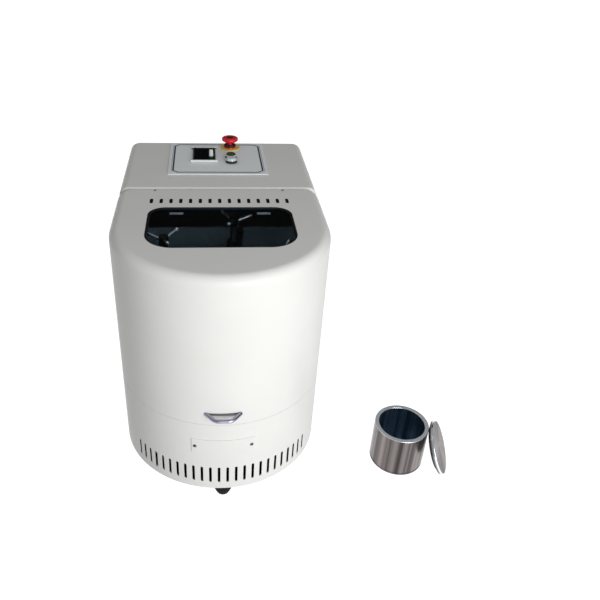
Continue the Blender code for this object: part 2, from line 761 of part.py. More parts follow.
def handle_mesh():
    """A bow pull on a narrow foot plate that follows the hood's front."""
    wall = -FRONT_BULGE
    plate_rings = []
    half_angle = math.asin(HANDLE_PLATE_WIDTH / BODY_WIDTH)
    for step in range(ACCESS_FACETS + 1):
        angle = -math.pi / 2 - half_angle + 2 * half_angle * step / ACCESS_FACETS
        section = [(GAP, -1), (GAP + HANDLE_PLATE_THICKNESS, -1),
                   (GAP + HANDLE_PLATE_THICKNESS, 1), (GAP, 1)]
        plate_rings.append([((BODY_WIDTH / 2 + out) * math.cos(angle),
                             (FRONT_BULGE + out) * math.sin(angle),
                             HANDLE_HEIGHT + side * HANDLE_PLATE_HEIGHT / 2)
                            for out, side in section])
    base = loft(plate_rings)
    foot_x = HANDLE_WALL_WIDTH / 2
    bar_x = HANDLE_BAR_WIDTH / 2
    foot_y = wall * math.sqrt(1 - (foot_x / (BODY_WIDTH / 2)) ** 2) - HANDLE_PLATE_THICKNESS / 2
    bar_y = wall - HANDLE_REACH + HANDLE_ROD_RADIUS
    bend = HANDLE_ROD_RADIUS * 2
    root = Vector((foot_x, foot_y, HANDLE_HEIGHT))
    foot = root - Vector((0, HANDLE_ROD_RADIUS, 0))
    knee = Vector((bar_x, bar_y, HANDLE_HEIGHT))
    leg = (foot - knee).normalized()
    half_path = [root, foot, knee + leg * bend]
    for step in range(1, HANDLE_BEND_FACETS):
        share = step / HANDLE_BEND_FACETS
        along = Vector((-1, 0, 0))
        half_path.append(knee + leg * bend * (1 - share) ** 2 + along * bend * share ** 2)
    half_path.append(knee + Vector((-bend, 0, 0)))
    mirrored = [Vector((-point.x, point.y, point.z)) for point in reversed(half_path)]
    return add(base, [rod(half_path + mirrored, HANDLE_ROD_RADIUS, ROD_FACETS)])


def hinge_leaf_mesh():
    """A clevis under the hood's top: a plate with an ear on each side of the fixed arm."""
    ear_inner = HINGE_ARM_THICKNESS / 2 + RUNNING_GAP
    ear_outer = ear_inner + HINGE_LEAF_THICKNESS
    top = HINGE_AXIS_DEPTH - SHELL_WALL - GAP
    front = -HINGE_LEAF_LENGTH
    ear_profile = [(front, top), (front, top - HINGE_LEAF_THICKNESS)]
    ear_profile += arc(0, 0, HINGE_EYE_RADIUS, HINGE_EYE_RADIUS, HINGE_EAR_START, math.tau,
                       SMALL_CIRCLE_FACETS // 2)
    ear_profile += [(HINGE_EYE_RADIUS, 0), (HINGE_EYE_RADIUS - HINGE_PIN_HEAD, top)]
    bore = circle(clear_bore(HINGE_PIN_RADIUS, HINGE_FACETS), HINGE_FACETS)
    turn = Matrix(((0, 0, 1, 0), (1, 0, 0, 0), (0, 1, 0, 0), (0, 0, 0, 1)))
    ears = []
    for low in (-ear_outer, ear_inner):
        ears.append(moved(plate(ear_profile, low, low + HINGE_LEAF_THICKNESS, [bore]), turn))
    bridge_front = front
    bridge_rear = -HINGE_EYE_RADIUS - HINGE_LEAF_THICKNESS
    middle = (bridge_front + bridge_rear) / 2
    bridge = plate(rectangle(ear_outer - GAP, (bridge_rear - bridge_front) / 2 - GAP, (0, middle)),
                   top - HINGE_LEAF_THICKNESS / 2, top - GAP)
    return add(bridge, ears)


def build_hinge_brackets(frame, looks):
    """The arms on the bulkhead that carry the hood, each with its pin."""
    arm_half = HINGE_ARM_THICKNESS / 2
    reach = BULKHEAD_Y - GAP - HINGE_Y
    top = HINGE_EYE_RADIUS - HINGE_PIN_HEAD
    profile = arc(0, 0, HINGE_EYE_RADIUS, HINGE_EYE_RADIUS, math.pi / 2, math.pi * 1.5,
                  SMALL_CIRCLE_FACETS // 2)
    profile += [(reach - HINGE_BASE_THICKNESS / 2, -HINGE_EYE_RADIUS),
                (reach - HINGE_BASE_THICKNESS / 2, top)]
    profile += [(HINGE_EYE_RADIUS, top)]
    turn = Matrix(((0, 0, 1, 0), (1, 0, 0, 0), (0, 1, 0, 0), (0, 0, 0, 1)))
    arm = moved(plate(profile, -arm_half, arm_half), turn)
    base_top = top
    foot = plate(rectangle(HINGE_BASE_WIDTH / 2, HINGE_BASE_THICKNESS / 2,
                           (0, reach - HINGE_BASE_THICKNESS / 2)),
                 base_top - HINGE_BASE_HEIGHT, base_top - GAP)
    half_pin = arm_half + RUNNING_GAP + HINGE_LEAF_THICKNESS + GAP + HINGE_PIN_HEAD
    pin_profile = [(0, -half_pin), (HINGE_PIN_RADIUS + HINGE_PIN_HEAD, -half_pin),
                   (HINGE_PIN_RADIUS + HINGE_PIN_HEAD, HINGE_PIN_HEAD - half_pin),
                   (HINGE_PIN_RADIUS, HINGE_PIN_HEAD - half_pin),
                   (HINGE_PIN_RADIUS, half_pin - HINGE_PIN_HEAD),
                   (HINGE_PIN_RADIUS + HINGE_PIN_HEAD, half_pin - HINGE_PIN_HEAD),
                   (HINGE_PIN_RADIUS + HINGE_PIN_HEAD, half_pin), (0, half_pin)]
    pin = moved(revolve(pin_profile, HINGE_FACETS), turn)
    bracket = add(add(arm, [foot]), [pin])
    for name, side in (("left_hinge_bracket", -1), ("right_hinge_bracket", 1)):
        add_piece(name, bracket, looks["plated_steel"], frame,
                  (side * HINGE_SPACING / 2, HINGE_Y, HINGE_Z))


# Cabinet

def build_cabinet(frame, looks):
    """Rear housing with its bulkhead, removable rear panel and mains inlet."""
    bottom = HOOD_BOTTOM
    outer = [level(cabinet_outline(0, 0), bottom)]
    for inset, height, share in fillet_steps():
        outer.append(level(cabinet_outline(inset, SPLIT_FILLET * share), height))
    inner_low = cabinet_outline(SHELL_WALL, SHELL_WALL)
    inner_high = cabinet_outline(TOP_FILLET / 2, SHELL_WALL + SPLIT_FILLET / 2)
    inner = [level(inner_low, bottom), level(inner_low, BODY_TOP - TOP_FILLET),
             level(inner_high, TOP_UNDERSIDE)]
    shell = loft(list(reversed(outer)) + inner)
    opening_half = BODY_WIDTH / 2 - CABINET_FRONT_RETURN
    front_cut = plate(rectangle(opening_half, SPLIT_FILLET * 2, (0, CABINET_FRONT)),
                      bottom - OVERRUN, BODY_TOP - CABINET_FRONT_LIP)
    port_half = BODY_WIDTH / 2 - CABINET_REAR_PORT_INSET
    rear_cut = plate(rectangle(port_half, SHELL_WALL + OVERRUN, (0, BODY_REAR)),
                     CABINET_REAR_PORT_BOTTOM, CABINET_REAR_PORT_TOP)
    deck_cut = plate(rectangle(BODY_WIDTH / 2 - SHELL_WALL, SPLIT_FILLET * 2, (0, CABINET_FRONT)),
                     bottom - OVERRUN, DECK_TOP + GAP)
    shell = cut(cut(shell, [front_cut, rear_cut]), [deck_cut])
    arm_slots = [plate(rectangle(hinge_slot_half_width(), SPLIT_FILLET * 2,
                                 (side * HINGE_SPACING / 2, CABINET_FRONT)),
                       BODY_TOP - CABINET_FRONT_LIP - OVERRUN, HINGE_Z + HINGE_EYE_RADIUS)
                 for side in (-1, 1)]
    add_piece("cabinet_shell", cut(shell, arm_slots), looks["enamel"], frame)

    half = BODY_WIDTH / 2 - SHELL_WALL - GAP
    corner = TOP_FILLET / 2
    low, high = DECK_TOP + GAP, TOP_UNDERSIDE - GAP
    sheet = [(-half, low), (half, low), (half, high - corner * 2), (half - corner, high),
             (corner - half, high), (-half, high - corner * 2)]
    upright = Matrix.Rotation(math.pi / 2, 4, "X")
    stand = Matrix.Translation((0, BULKHEAD_Y + BULKHEAD_THICKNESS, 0)) @ upright
    add_piece("bulkhead", moved(plate(sheet, 0, BULKHEAD_THICKNESS), stand), looks["grey_enamel"], frame)

    build_rear_panel(frame, looks, port_half)


def build_rear_panel(frame, looks, port_half):
    """The screwed-on rear panel, with its louvre slots and the mains inlet."""
    half = port_half + REAR_PANEL_OVERLAP
    low = CABINET_REAR_PORT_BOTTOM - REAR_PANEL_OVERLAP
    high = CABINET_REAR_PORT_TOP + REAR_PANEL_OVERLAP
    slots = []
    for index in range(REAR_SLOT_COUNT):
        height = REAR_SLOT_START + index * REAR_SLOT_PITCH
        slots.append(rectangle(REAR_SLOT_WIDTH / 2, REAR_SLOT_HEIGHT / 2, (0, height)))
    inlet_half_x = INLET_WIDTH / 2 - INLET_WALL
    inlet_half_z = INLET_HEIGHT / 2 - INLET_WALL
    port = rectangle(inlet_half_x + GAP, inlet_half_z + GAP, (INLET_CENTRE_X, INLET_CENTRE_Z))
    panel = plate([(-half, low), (half, low), (half, high), (-half, high)],
                  0, REAR_PANEL_THICKNESS, slots + [port])
    panel_front = BODY_REAR + GAP
    upright = Matrix.Rotation(math.pi / 2, 4, "X")
    stand = Matrix.Translation((0, panel_front + REAR_PANEL_THICKNESS, 0)) @ upright
    add_piece("rear_panel", moved(panel, stand), looks["enamel"], frame)

    panel_back = panel_front + REAR_PANEL_THICKNESS + GAP
    centre = (INLET_CENTRE_X, INLET_CENTRE_Z)
    flange = plate(rectangle(INLET_WIDTH / 2, INLET_HEIGHT / 2, centre), -INLET_FLANGE, 0)
    barrel = plate(rectangle(inlet_half_x, inlet_half_z, centre), -GAP, INLET_DEPTH)
    recess = plate(rectangle(inlet_half_x - INLET_WALL, inlet_half_z - INLET_WALL, centre),
                   -INLET_FLANGE - OVERRUN, INLET_DEPTH - INLET_WALL)
    inlet = cut(add(flange, [barrel]), [recess])
    turn = Matrix.Translation((0, panel_back, 0)) @ upright
    add_piece("mains_inlet", moved(inlet, turn), looks["black_plastic"], frame)


# Control panel

def build_controls(frame, looks):
    """Panel sheet, display, speed knob, emergency stop and two push buttons."""
    half = PANEL_WIDTH / 2
    sheet = plate(rounded_rectangle(-half, half, PANEL_FRONT, PANEL_FRONT + PANEL_LENGTH,
                                    PANEL_CORNER_RADIUS, PANEL_CORNER_RADIUS, CORNER_FACETS),
                  PANEL_BOTTOM, PANEL_TOP)
    add_piece("control_panel", sheet, looks["panel_sheet"], frame)

    build_display(frame, looks)

    spots = {"start": START_BUTTON_Y, "stop": STOP_BUTTON_Y}
    colours = {"start": looks["green_plastic"], "stop": looks["white_plastic"]}
    cap_bottom = BEZEL_FLOOR + CAP_TRAVEL + GAP
    bezel_bore = clear_bore(CAP_RADIUS, CONTROL_FACETS)
    bezel = revolve([(0, 0), (BEZEL_RADIUS, 0), (BEZEL_RADIUS, BEZEL_HEIGHT - BEZEL_CHAMFER),
                     (BEZEL_RADIUS - BEZEL_CHAMFER, BEZEL_HEIGHT), (bezel_bore, BEZEL_HEIGHT),
                     (bezel_bore, BEZEL_FLOOR), (0, BEZEL_FLOOR)], CONTROL_FACETS)
    cap_top = cap_bottom + CAP_HEIGHT
    for name, spot in spots.items():
        cap = revolve([(0, cap_bottom), (CAP_RADIUS, cap_bottom), (CAP_RADIUS, cap_top - CAP_CHAMFER),
                       (CAP_RADIUS - CAP_CHAMFER, cap_top), (0, cap_top)], CONTROL_FACETS)
        add_piece(name + "_bezel", bezel, looks["chrome"], frame, (BUTTON_X, spot, CONTROL_BASE))
        add_piece(name + "_button", cap, colours[name], frame, (BUTTON_X, spot, CONTROL_BASE))

    build_estop(frame, looks)


def build_display(frame, looks):
    """The speed display in its frame, with the small speed knob on it."""
    half_x = DISPLAY_WIDTH / 2 + DISPLAY_FRAME
    half_y = DISPLAY_LENGTH / 2 + DISPLAY_FRAME
    block = plate(rounded_rectangle(DISPLAY_CENTRE_X - half_x, DISPLAY_CENTRE_X + half_x,
                                    DISPLAY_CENTRE_Y - half_y, DISPLAY_CENTRE_Y + half_y,
                                    DISPLAY_CORNER_RADIUS, DISPLAY_CORNER_RADIUS, CORNER_FACETS),
                  CONTROL_BASE, CONTROL_BASE + DISPLAY_HEIGHT)
    face = CONTROL_BASE + DISPLAY_HEIGHT - DISPLAY_RECESS
    recess = plate(rectangle(DISPLAY_WIDTH / 2, DISPLAY_LENGTH / 2, (DISPLAY_CENTRE_X, DISPLAY_CENTRE_Y)),
                   face, CONTROL_BASE + DISPLAY_HEIGHT + OVERRUN)
    socket_radius = clear_bore(KNOB_SPINDLE_RADIUS, SMALL_CIRCLE_FACETS)
    socket = plate(circle(socket_radius, SMALL_CIRCLE_FACETS, (KNOB_X, KNOB_Y)),
                   face - KNOB_SPINDLE_DEPTH - GAP, face + OVERRUN)
    add_piece("speed_display", cut(cut(block, [recess]), [socket]), looks["black_plastic"], frame)

    points = []
    for index in range(KNOB_FLUTES * 2):
        angle = math.pi * index / KNOB_FLUTES
        radius_share = 1 - (index % 2) * KNOB_FLUTE_DEPTH / KNOB_RADIUS
        points.append((radius_share * math.cos(angle), radius_share * math.sin(angle)))
    lift = GAP
    rings = [[(x * KNOB_RADIUS, y * KNOB_RADIUS, lift) for x, y in points],
             [(x * KNOB_TOP_RADIUS, y * KNOB_TOP_RADIUS, lift + KNOB_HEIGHT) for x, y in points]]
    spindle = revolve([(0, -KNOB_SPINDLE_DEPTH), (KNOB_SPINDLE_RADIUS, -KNOB_SPINDLE_DEPTH),
                       (KNOB_SPINDLE_RADIUS, lift + KNOB_SPINDLE_DEPTH),
                       (0, lift + KNOB_SPINDLE_DEPTH)], SMALL_CIRCLE_FACETS)
    add_piece("speed_knob", add(loft(rings), [spindle]), looks["white_plastic"], frame,
              (KNOB_X, KNOB_Y, face))


def build_estop(frame, looks):
    """Emergency stop: yellow collar with its black neck, and the red mushroom head."""
    place = (BUTTON_X, ESTOP_Y, CONTROL_BASE)
    neck_top = ESTOP_RING_THICKNESS + ESTOP_NECK_HEIGHT
    bore = clear_bore(ESTOP_STEM_RADIUS, CONTROL_FACETS)
    base = revolve([(0, 0), (ESTOP_RING_RADIUS, 0), (ESTOP_RING_RADIUS, ESTOP_RING_THICKNESS),
                    (ESTOP_NECK_RADIUS, ESTOP_RING_THICKNESS), (ESTOP_NECK_RADIUS, neck_top),
                    (bore, neck_top), (bore, neck_top - ESTOP_STEM_BORE_DEPTH),
                    (0, neck_top - ESTOP_STEM_BORE_DEPTH)], CONTROL_FACETS)
    add_piece("estop_base", base, looks["yellow_plastic"], frame, place)
    head_bottom = neck_top + ESTOP_HEAD_LIFT
    head_top = head_bottom + ESTOP_HEAD_HEIGHT
    stem_bottom = neck_top - ESTOP_STEM_DEPTH
    profile = [(0, stem_bottom), (ESTOP_STEM_RADIUS, stem_bottom), (ESTOP_STEM_RADIUS, head_bottom),
               (ESTOP_NECK_RADIUS, head_bottom), (ESTOP_HEAD_RADIUS, head_bottom + ESTOP_HEAD_EDGE),
               (ESTOP_HEAD_RADIUS, head_top - ESTOP_HEAD_EDGE)]
    dome = arc(ESTOP_HEAD_RADIUS - ESTOP_HEAD_EDGE, head_top - ESTOP_HEAD_EDGE,
               ESTOP_HEAD_EDGE, ESTOP_HEAD_EDGE, 0, math.pi / 2, CORNER_FACETS - 1)
    profile += dome[1:]
    profile += [(ESTOP_DISH_RADIUS, head_top), (0, head_top - ESTOP_DISH_DEPTH)]
    add_piece("estop_head", revolve(profile, CONTROL_FACETS), looks["red_plastic"], frame, place)


# Drive

def build_deck(frame, looks):
    """The deck that closes the base and carries the ring gear, the bearing and the motor."""
    outline = body_outline(DECK_INSET, BODY_REAR, REAR_CORNER_RADIUS)
    holes = [circle(HOUSING_RADIUS + GAP, CIRCLE_FACETS),
             circle(MOTOR_DECK_BORE, CIRCLE_FACETS, (0, BELT_DISTANCE))]
    deck = plate(outline, DECK_BOTTOM, DECK_TOP, holes)
    add_piece("deck_plate", deck, looks["grey_enamel"], frame)


def half_tooth_angle(radius, pitch_radius, teeth, play):
    """Half the angle that an involute tooth spans at a radius."""
    base_radius = pitch_radius * math.cos(PRESSURE_ANGLE)
    pressure = math.acos(min(1, base_radius / radius))
    at_pitch = math.tan(PRESSURE_ANGLE) - PRESSURE_ANGLE
    here = math.tan(pressure) - pressure
    return math.pi / (2 * teeth) - play / (2 * pitch_radius) + at_pitch - here


def tooth_outline(teeth, root, tip, pitch_radius, play):
    """A ring of teeth, the first one centred on +x."""
    points = []
    root_half = half_tooth_angle(root, pitch_radius, teeth, play)
    tip_half = half_tooth_angle(tip, pitch_radius, teeth, play)
    for index in range(teeth):
        middle = math.tau * index / teeth
        for radius, offset in ((root, -root_half), (tip, -tip_half), (tip, tip_half), (root, root_half)):
            points.append((radius * math.cos(middle + offset), radius * math.sin(middle + offset)))
    return points


def build_gears(frame, looks):
    """The fixed ring gear on the deck, and one planet gear with its spindle per station."""
    addendum = GEAR_MODULE
    dedendum = GEAR_MODULE * DEDENDUM_SHARE
    planet_pitch = GEAR_MODULE * PLANET_TEETH / 2
    ring_pitch = GEAR_MODULE * RING_TEETH / 2
    ring_bottom = DECK_TOP + GAP
    hole = tooth_outline(RING_TEETH, ring_pitch - addendum, ring_pitch + dedendum,
                         ring_pitch, -TOOTH_PLAY)
    rim = circle(RING_OUTER_RADIUS, RING_RIM_FACETS)
    ring = plate(rim, ring_bottom, ring_bottom + RING_GEAR_HEIGHT, [hole])
    add_piece("ring_gear", ring, looks["dark_steel"], frame)

    teeth = tooth_outline(PLANET_TEETH, planet_pitch - dedendum, planet_pitch + addendum,
                          planet_pitch, TOOTH_PLAY)
    gear_top = PLANET_GEAR_BOTTOM + PLANET_GEAR_HEIGHT
    gear = plate(teeth, PLANET_GEAR_BOTTOM, gear_top)
    hub_top = CARRIER_BOTTOM - RUNNING_GAP
    spindle_bottom = PLANET_GEAR_BOTTOM - PLANET_GEAR_LIFT / 2
    flange_top = FLANGE_BOTTOM + PLANET_FLANGE_THICKNESS
    spindle = revolve([(0, spindle_bottom), (PLANET_HUB_RADIUS, spindle_bottom),
                       (PLANET_HUB_RADIUS, hub_top), (PLANET_SHAFT_RADIUS, hub_top),
                       (PLANET_SHAFT_RADIUS, FLANGE_BOTTOM), (PLANET_FLANGE_RADIUS, FLANGE_BOTTOM),
                       (PLANET_FLANGE_RADIUS, flange_top), (0, flange_top)], SMALL_CIRCLE_FACETS)
    planet = add(gear, [spindle])
    for number, place, turn in stations():
        add_piece(f"planet_gear_{number}", planet, looks["plated_steel"], frame, place, turn)


def stations():
    """Number, place and turn of each station on the carrier."""
    spots = []
    for index in range(STATION_COUNT):
        angle = FIRST_STATION_ANGLE + math.tau * index / STATION_COUNT
        place = (ORBIT_RADIUS * math.cos(angle), ORBIT_RADIUS * math.sin(angle), 0)
        spots.append((index + 1, place, angle))
    return spots


def build_carrier(frame, looks):
    """The turning carrier with its main shaft, bearing, housing and driven pulley."""
    bore_radius = clear_bore(PLANET_SHAFT_RADIUS, SMALL_CIRCLE_FACETS)
    bores = [circle(bore_radius, SMALL_CIRCLE_FACETS, (place[0], place[1]))
             for _, place, _ in stations()]
    shaft_bore = circle(MAIN_SHAFT_RADIUS + GAP, SMALL_CIRCLE_FACETS)
    disc = plate(circle(CARRIER_RADIUS, CIRCLE_FACETS * 2), CARRIER_BOTTOM, CARRIER_TOP,
                 bores + [shaft_bore])
    hub_inner = MAIN_SHAFT_RADIUS + GAP
    hub_bottom = CARRIER_BOTTOM - CARRIER_HUB_DROP
    hub = revolve([(hub_inner + SHELL_WALL, hub_bottom), (CARRIER_HUB_RADIUS, hub_bottom),
                   (CARRIER_HUB_RADIUS, CARRIER_BOTTOM + GAP),
                   (hub_inner + SHELL_WALL, CARRIER_BOTTOM + GAP)], CIRCLE_FACETS)
    add_piece("planet_carrier", add(disc, [hub]), looks["plated_steel"], frame)

    housing_top = DECK_TOP + GAP + HOUSING_FLANGE_THICKNESS
    bore = BEARING_RADIUS + GAP
    bore_floor = HOUSING_BOTTOM + HOUSING_FLOOR
    housing = revolve([(HOUSING_FLOOR_BORE, HOUSING_BOTTOM), (HOUSING_RADIUS, HOUSING_BOTTOM),
                       (HOUSING_RADIUS, DECK_TOP + GAP), (HOUSING_FLANGE_RADIUS, DECK_TOP + GAP),
                       (HOUSING_FLANGE_RADIUS, housing_top), (bore, housing_top),
                       (bore, bore_floor), (HOUSING_FLOOR_BORE, bore_floor)], CIRCLE_FACETS)
    add_piece("bearing_housing", housing, looks["cast_housing"], frame)

    bearing_bottom = bore_floor + GAP
    shaft_gap_radius = clear_bore(MAIN_SHAFT_RADIUS, CIRCLE_FACETS)
    bearing = revolve([(shaft_gap_radius, bearing_bottom), (BEARING_RADIUS, bearing_bottom),
                       (BEARING_RADIUS, bearing_bottom + BEARING_LENGTH),
                       (shaft_gap_radius, bearing_bottom + BEARING_LENGTH)], CIRCLE_FACETS)
    add_piece("main_bearing", bearing, looks["stainless"], frame)

    hub_reach = BELT_BACK_HALF_WIDTH + PULLEY_EDGE
    shaft_bottom = BELT_HEIGHT_CENTRE - hub_reach - PULLEY_HUB_HEIGHT / 2
    cap_top = CARRIER_TOP + HOUSING_FLANGE_THICKNESS
    cap_bottom = CARRIER_TOP + GAP
    shaft = revolve([(0, shaft_bottom), (MAIN_SHAFT_RADIUS, shaft_bottom),
                     (MAIN_SHAFT_RADIUS, cap_bottom), (PULLEY_HUB_RADIUS, cap_bottom),
                     (PULLEY_HUB_RADIUS, cap_top), (0, cap_top)], SMALL_CIRCLE_FACETS)
    add_piece("main_shaft", shaft, looks["stainless"], frame)

    driven = pulley_mesh(DRIVEN_PULLEY_RADIUS, MAIN_SHAFT_RADIUS + GAP, PULLEY_HUB_HEIGHT)
    add_piece("driven_pulley", driven, looks["cast_housing"], frame, (0, 0, BELT_HEIGHT_CENTRE))


def pulley_profile(pitch_radius):
    """The (radius, height) points of a V-groove rim, bottom edge first."""
    outer = pitch_radius + BELT_BACK
    groove = pitch_radius - BELT_INNER - PULLEY_GROOVE_FLOOR
    half_rim = BELT_BACK_HALF_WIDTH + PULLEY_EDGE
    back = BELT_BACK_HALF_WIDTH + GAP * 2
    floor = BELT_INNER_HALF_WIDTH + GAP
    return [(outer, -half_rim), (outer, -back), (groove, -floor), (groove, floor),
            (outer, back), (outer, half_rim)]


def pulley_mesh(pitch_radius, bore, hub_height):
    """A pulley with a V-groove rim, a recessed web on top and a hub."""
    rim = pulley_profile(pitch_radius)
    half_rim = BELT_BACK_HALF_WIDTH + PULLEY_EDGE
    web_radius = rim[2][0] - PULLEY_RIM
    web_top = half_rim - PULLEY_RIM
    profile = [(bore, -half_rim)] + rim
    profile += [(web_radius, half_rim), (web_radius, web_top), (PULLEY_HUB_RADIUS, web_top),
                (PULLEY_HUB_RADIUS, hub_height), (bore, hub_height)]
    return revolve(profile, CIRCLE_FACETS)


def belt_loop(outward):
    """The belt's path round both pulleys, pushed out from its pitch line."""
    lean = math.asin((DRIVEN_PULLEY_RADIUS - MOTOR_PULLEY_RADIUS) / BELT_DISTANCE)
    big = DRIVEN_PULLEY_RADIUS + outward
    small = MOTOR_PULLEY_RADIUS + outward
    return (arc(0, 0, big, big, math.pi - lean, math.tau + lean, BIG_PULLEY_BELT_FACETS)
            + arc(0, BELT_DISTANCE, small, small, lean, math.pi - lean,
                  SMALL_PULLEY_BELT_FACETS))


def build_belt_and_motor(frame, looks):
    """V-belt, motor pulley with its shaft, and the finned motor on the deck."""
    back, inner = BELT_BACK - GAP, GAP - BELT_INNER
    section = [(back, BELT_BACK_HALF_WIDTH), (back, -BELT_BACK_HALF_WIDTH),
               (inner, -BELT_INNER_HALF_WIDTH), (inner, BELT_INNER_HALF_WIDTH)]
    belt = loft([level(belt_loop(out), BELT_HEIGHT_CENTRE + height) for out, height in section],
                closed_chain=True)
    add_piece("drive_belt", belt, looks["rubber"], frame)

    rim = pulley_profile(MOTOR_PULLEY_RADIUS)
    half_rim = BELT_BACK_HALF_WIDTH + PULLEY_EDGE
    motor_bottom = DECK_TOP + GAP
    shaft_top = motor_bottom + MOTOR_SHAFT_ENGAGEMENT - BELT_HEIGHT_CENTRE
    profile = [(0, -half_rim)] + rim
    profile += [(PULLEY_HUB_RADIUS, half_rim), (PULLEY_HUB_RADIUS, half_rim + PULLEY_HUB_HEIGHT),
                (MOTOR_SHAFT_RADIUS, half_rim + PULLEY_HUB_HEIGHT),
                (MOTOR_SHAFT_RADIUS, shaft_top), (0, shaft_top)]
    add_piece("motor_pulley", revolve(profile, CIRCLE_FACETS), looks["cast_housing"], frame,
              (0, BELT_DISTANCE, BELT_HEIGHT_CENTRE))

    flange_top = motor_bottom + MOTOR_FLANGE_THICKNESS
    body_top = motor_bottom + MOTOR_HEIGHT
    cap_top = body_top + MOTOR_CAP_HEIGHT
    bore = clear_bore(MOTOR_SHAFT_RADIUS, CIRCLE_FACETS)
    bore_top = motor_bottom + MOTOR_SHAFT_ENGAGEMENT + GAP
    core = revolve([(bore, motor_bottom), (MOTOR_FLANGE_RADIUS, motor_bottom),
                    (MOTOR_FLANGE_RADIUS, flange_top), (MOTOR_CAP_RADIUS - MOTOR_FIN_DEPTH, flange_top),
                    (MOTOR_CAP_RADIUS - MOTOR_FIN_DEPTH, body_top), (MOTOR_CAP_RADIUS, body_top),
                    (MOTOR_CAP_RADIUS, cap_top - MOTOR_FIN_DEPTH),
                    (MOTOR_CAP_RADIUS - MOTOR_FIN_DEPTH, cap_top), (0, cap_top),
                    (0, bore_top), (bore, bore_top)], CIRCLE_FACETS)
    fins = []
    for index in range(MOTOR_FIN_COUNT * 2):
        angle = math.pi * index / MOTOR_FIN_COUNT
        radius = MOTOR_RADIUS - (index // 2 % 2) * MOTOR_FIN_DEPTH
        fins.append((radius * math.cos(angle), radius * math.sin(angle)))
    jacket = plate(fins, flange_top - GAP, body_top + GAP,
                   [circle(MOTOR_CAP_RADIUS - MOTOR_FIN_DEPTH * 2, CIRCLE_FACETS)])
    add_piece("motor", add(core, [jacket]), looks["motor_blue"], frame, BELT_ARM)


# Stations

def jar_mesh(facets):
    """A thick-walled steel jar, its bottom at height zero."""
    bore = JAR_RADIUS - JAR_WALL
    return revolve([(0, 0), (JAR_RADIUS - JAR_BOTTOM_CHAMFER, 0), (JAR_RADIUS, JAR_BOTTOM_CHAMFER),
                    (JAR_RADIUS, JAR_HEIGHT - JAR_CHAMFER), (JAR_RADIUS - JAR_CHAMFER, JAR_HEIGHT),
                    (bore + JAR_CHAMFER, JAR_HEIGHT), (bore, JAR_HEIGHT - JAR_CHAMFER),
                    (bore, JAR_FLOOR + JAR_CHAMFER), (bore - JAR_CHAMFER, JAR_FLOOR),
                    (0, JAR_FLOOR)], facets)


def lid_mesh(facets):
    """The jar's lid: a flange with chamfered edges and a plug under it, flange bottom at zero."""
    return revolve([(0, -LID_PLUG_HEIGHT), (PLUG_RADIUS - JAR_CHAMFER, -LID_PLUG_HEIGHT),
                    (PLUG_RADIUS, JAR_CHAMFER - LID_PLUG_HEIGHT), (PLUG_RADIUS, 0),
                    (JAR_RADIUS, 0), (JAR_RADIUS, LID_THICKNESS - LID_CHAMFER),
                    (JAR_RADIUS - LID_CHAMFER, LID_THICKNESS), (0, LID_THICKNESS)], facets)


def holder_mesh():
    """Jar holder: a two-lugged base, a low cup and two threaded posts with their nuts."""
    base_top = HOLDER_BOTTOM + HOLDER_BASE_THICKNESS
    base = plate(lug_outline(HOLDER_DISC_RADIUS, POST_DISTANCE, POST_LUG_RADIUS,
                             HOLDER_FACETS // 2, LUG_FACETS), HOLDER_BOTTOM, base_top)
    bore = clear_bore(JAR_RADIUS + HOLDER_CUP_PLAY, HOLDER_FACETS)
    cup = revolve([(bore, base_top - GAP), (bore + HOLDER_CUP_WALL, base_top - GAP),
                   (bore + HOLDER_CUP_WALL, base_top + HOLDER_CUP_HEIGHT),
                   (bore, base_top + HOLDER_CUP_HEIGHT)], HOLDER_FACETS)
    nut_bottom = BRIDGE_TOP + GAP
    nut_top = nut_bottom + POST_NUT_HEIGHT
    post_top = nut_top + POST_TOP_STICKOUT
    post_profile = [(0, base_top - GAP), (POST_RADIUS, base_top - GAP), (POST_RADIUS, nut_bottom),
                    (POST_NUT_RADIUS, nut_bottom), (POST_NUT_RADIUS, nut_top),
                    (POST_RADIUS, nut_top), (POST_RADIUS, post_top), (0, post_top)]
    posts = []
    for side in (-1, 1):
        post = revolve(post_profile, LUG_FACETS * 2)
        posts.append(moved(post, Matrix.Translation((side * POST_DISTANCE, 0, 0))))
    return add(add(base, [cup]), posts)


def bridge_mesh():
    """The cross bar over the jar, with a hole for each post and one for the screw."""
    holes = [circle(POST_RADIUS + GAP, LUG_FACETS * 2, (side * POST_DISTANCE, 0)) for side in (-1, 1)]
    holes.append(circle(clear_bore(SCREW_RADIUS, SCREW_FACETS), SCREW_FACETS))
    outline = lug_outline(BRIDGE_MIDDLE_RADIUS, POST_DISTANCE, BRIDGE_END_RADIUS, LUG_FACETS, LUG_FACETS)
    return plate(outline, BRIDGE_BOTTOM, BRIDGE_TOP, holes)


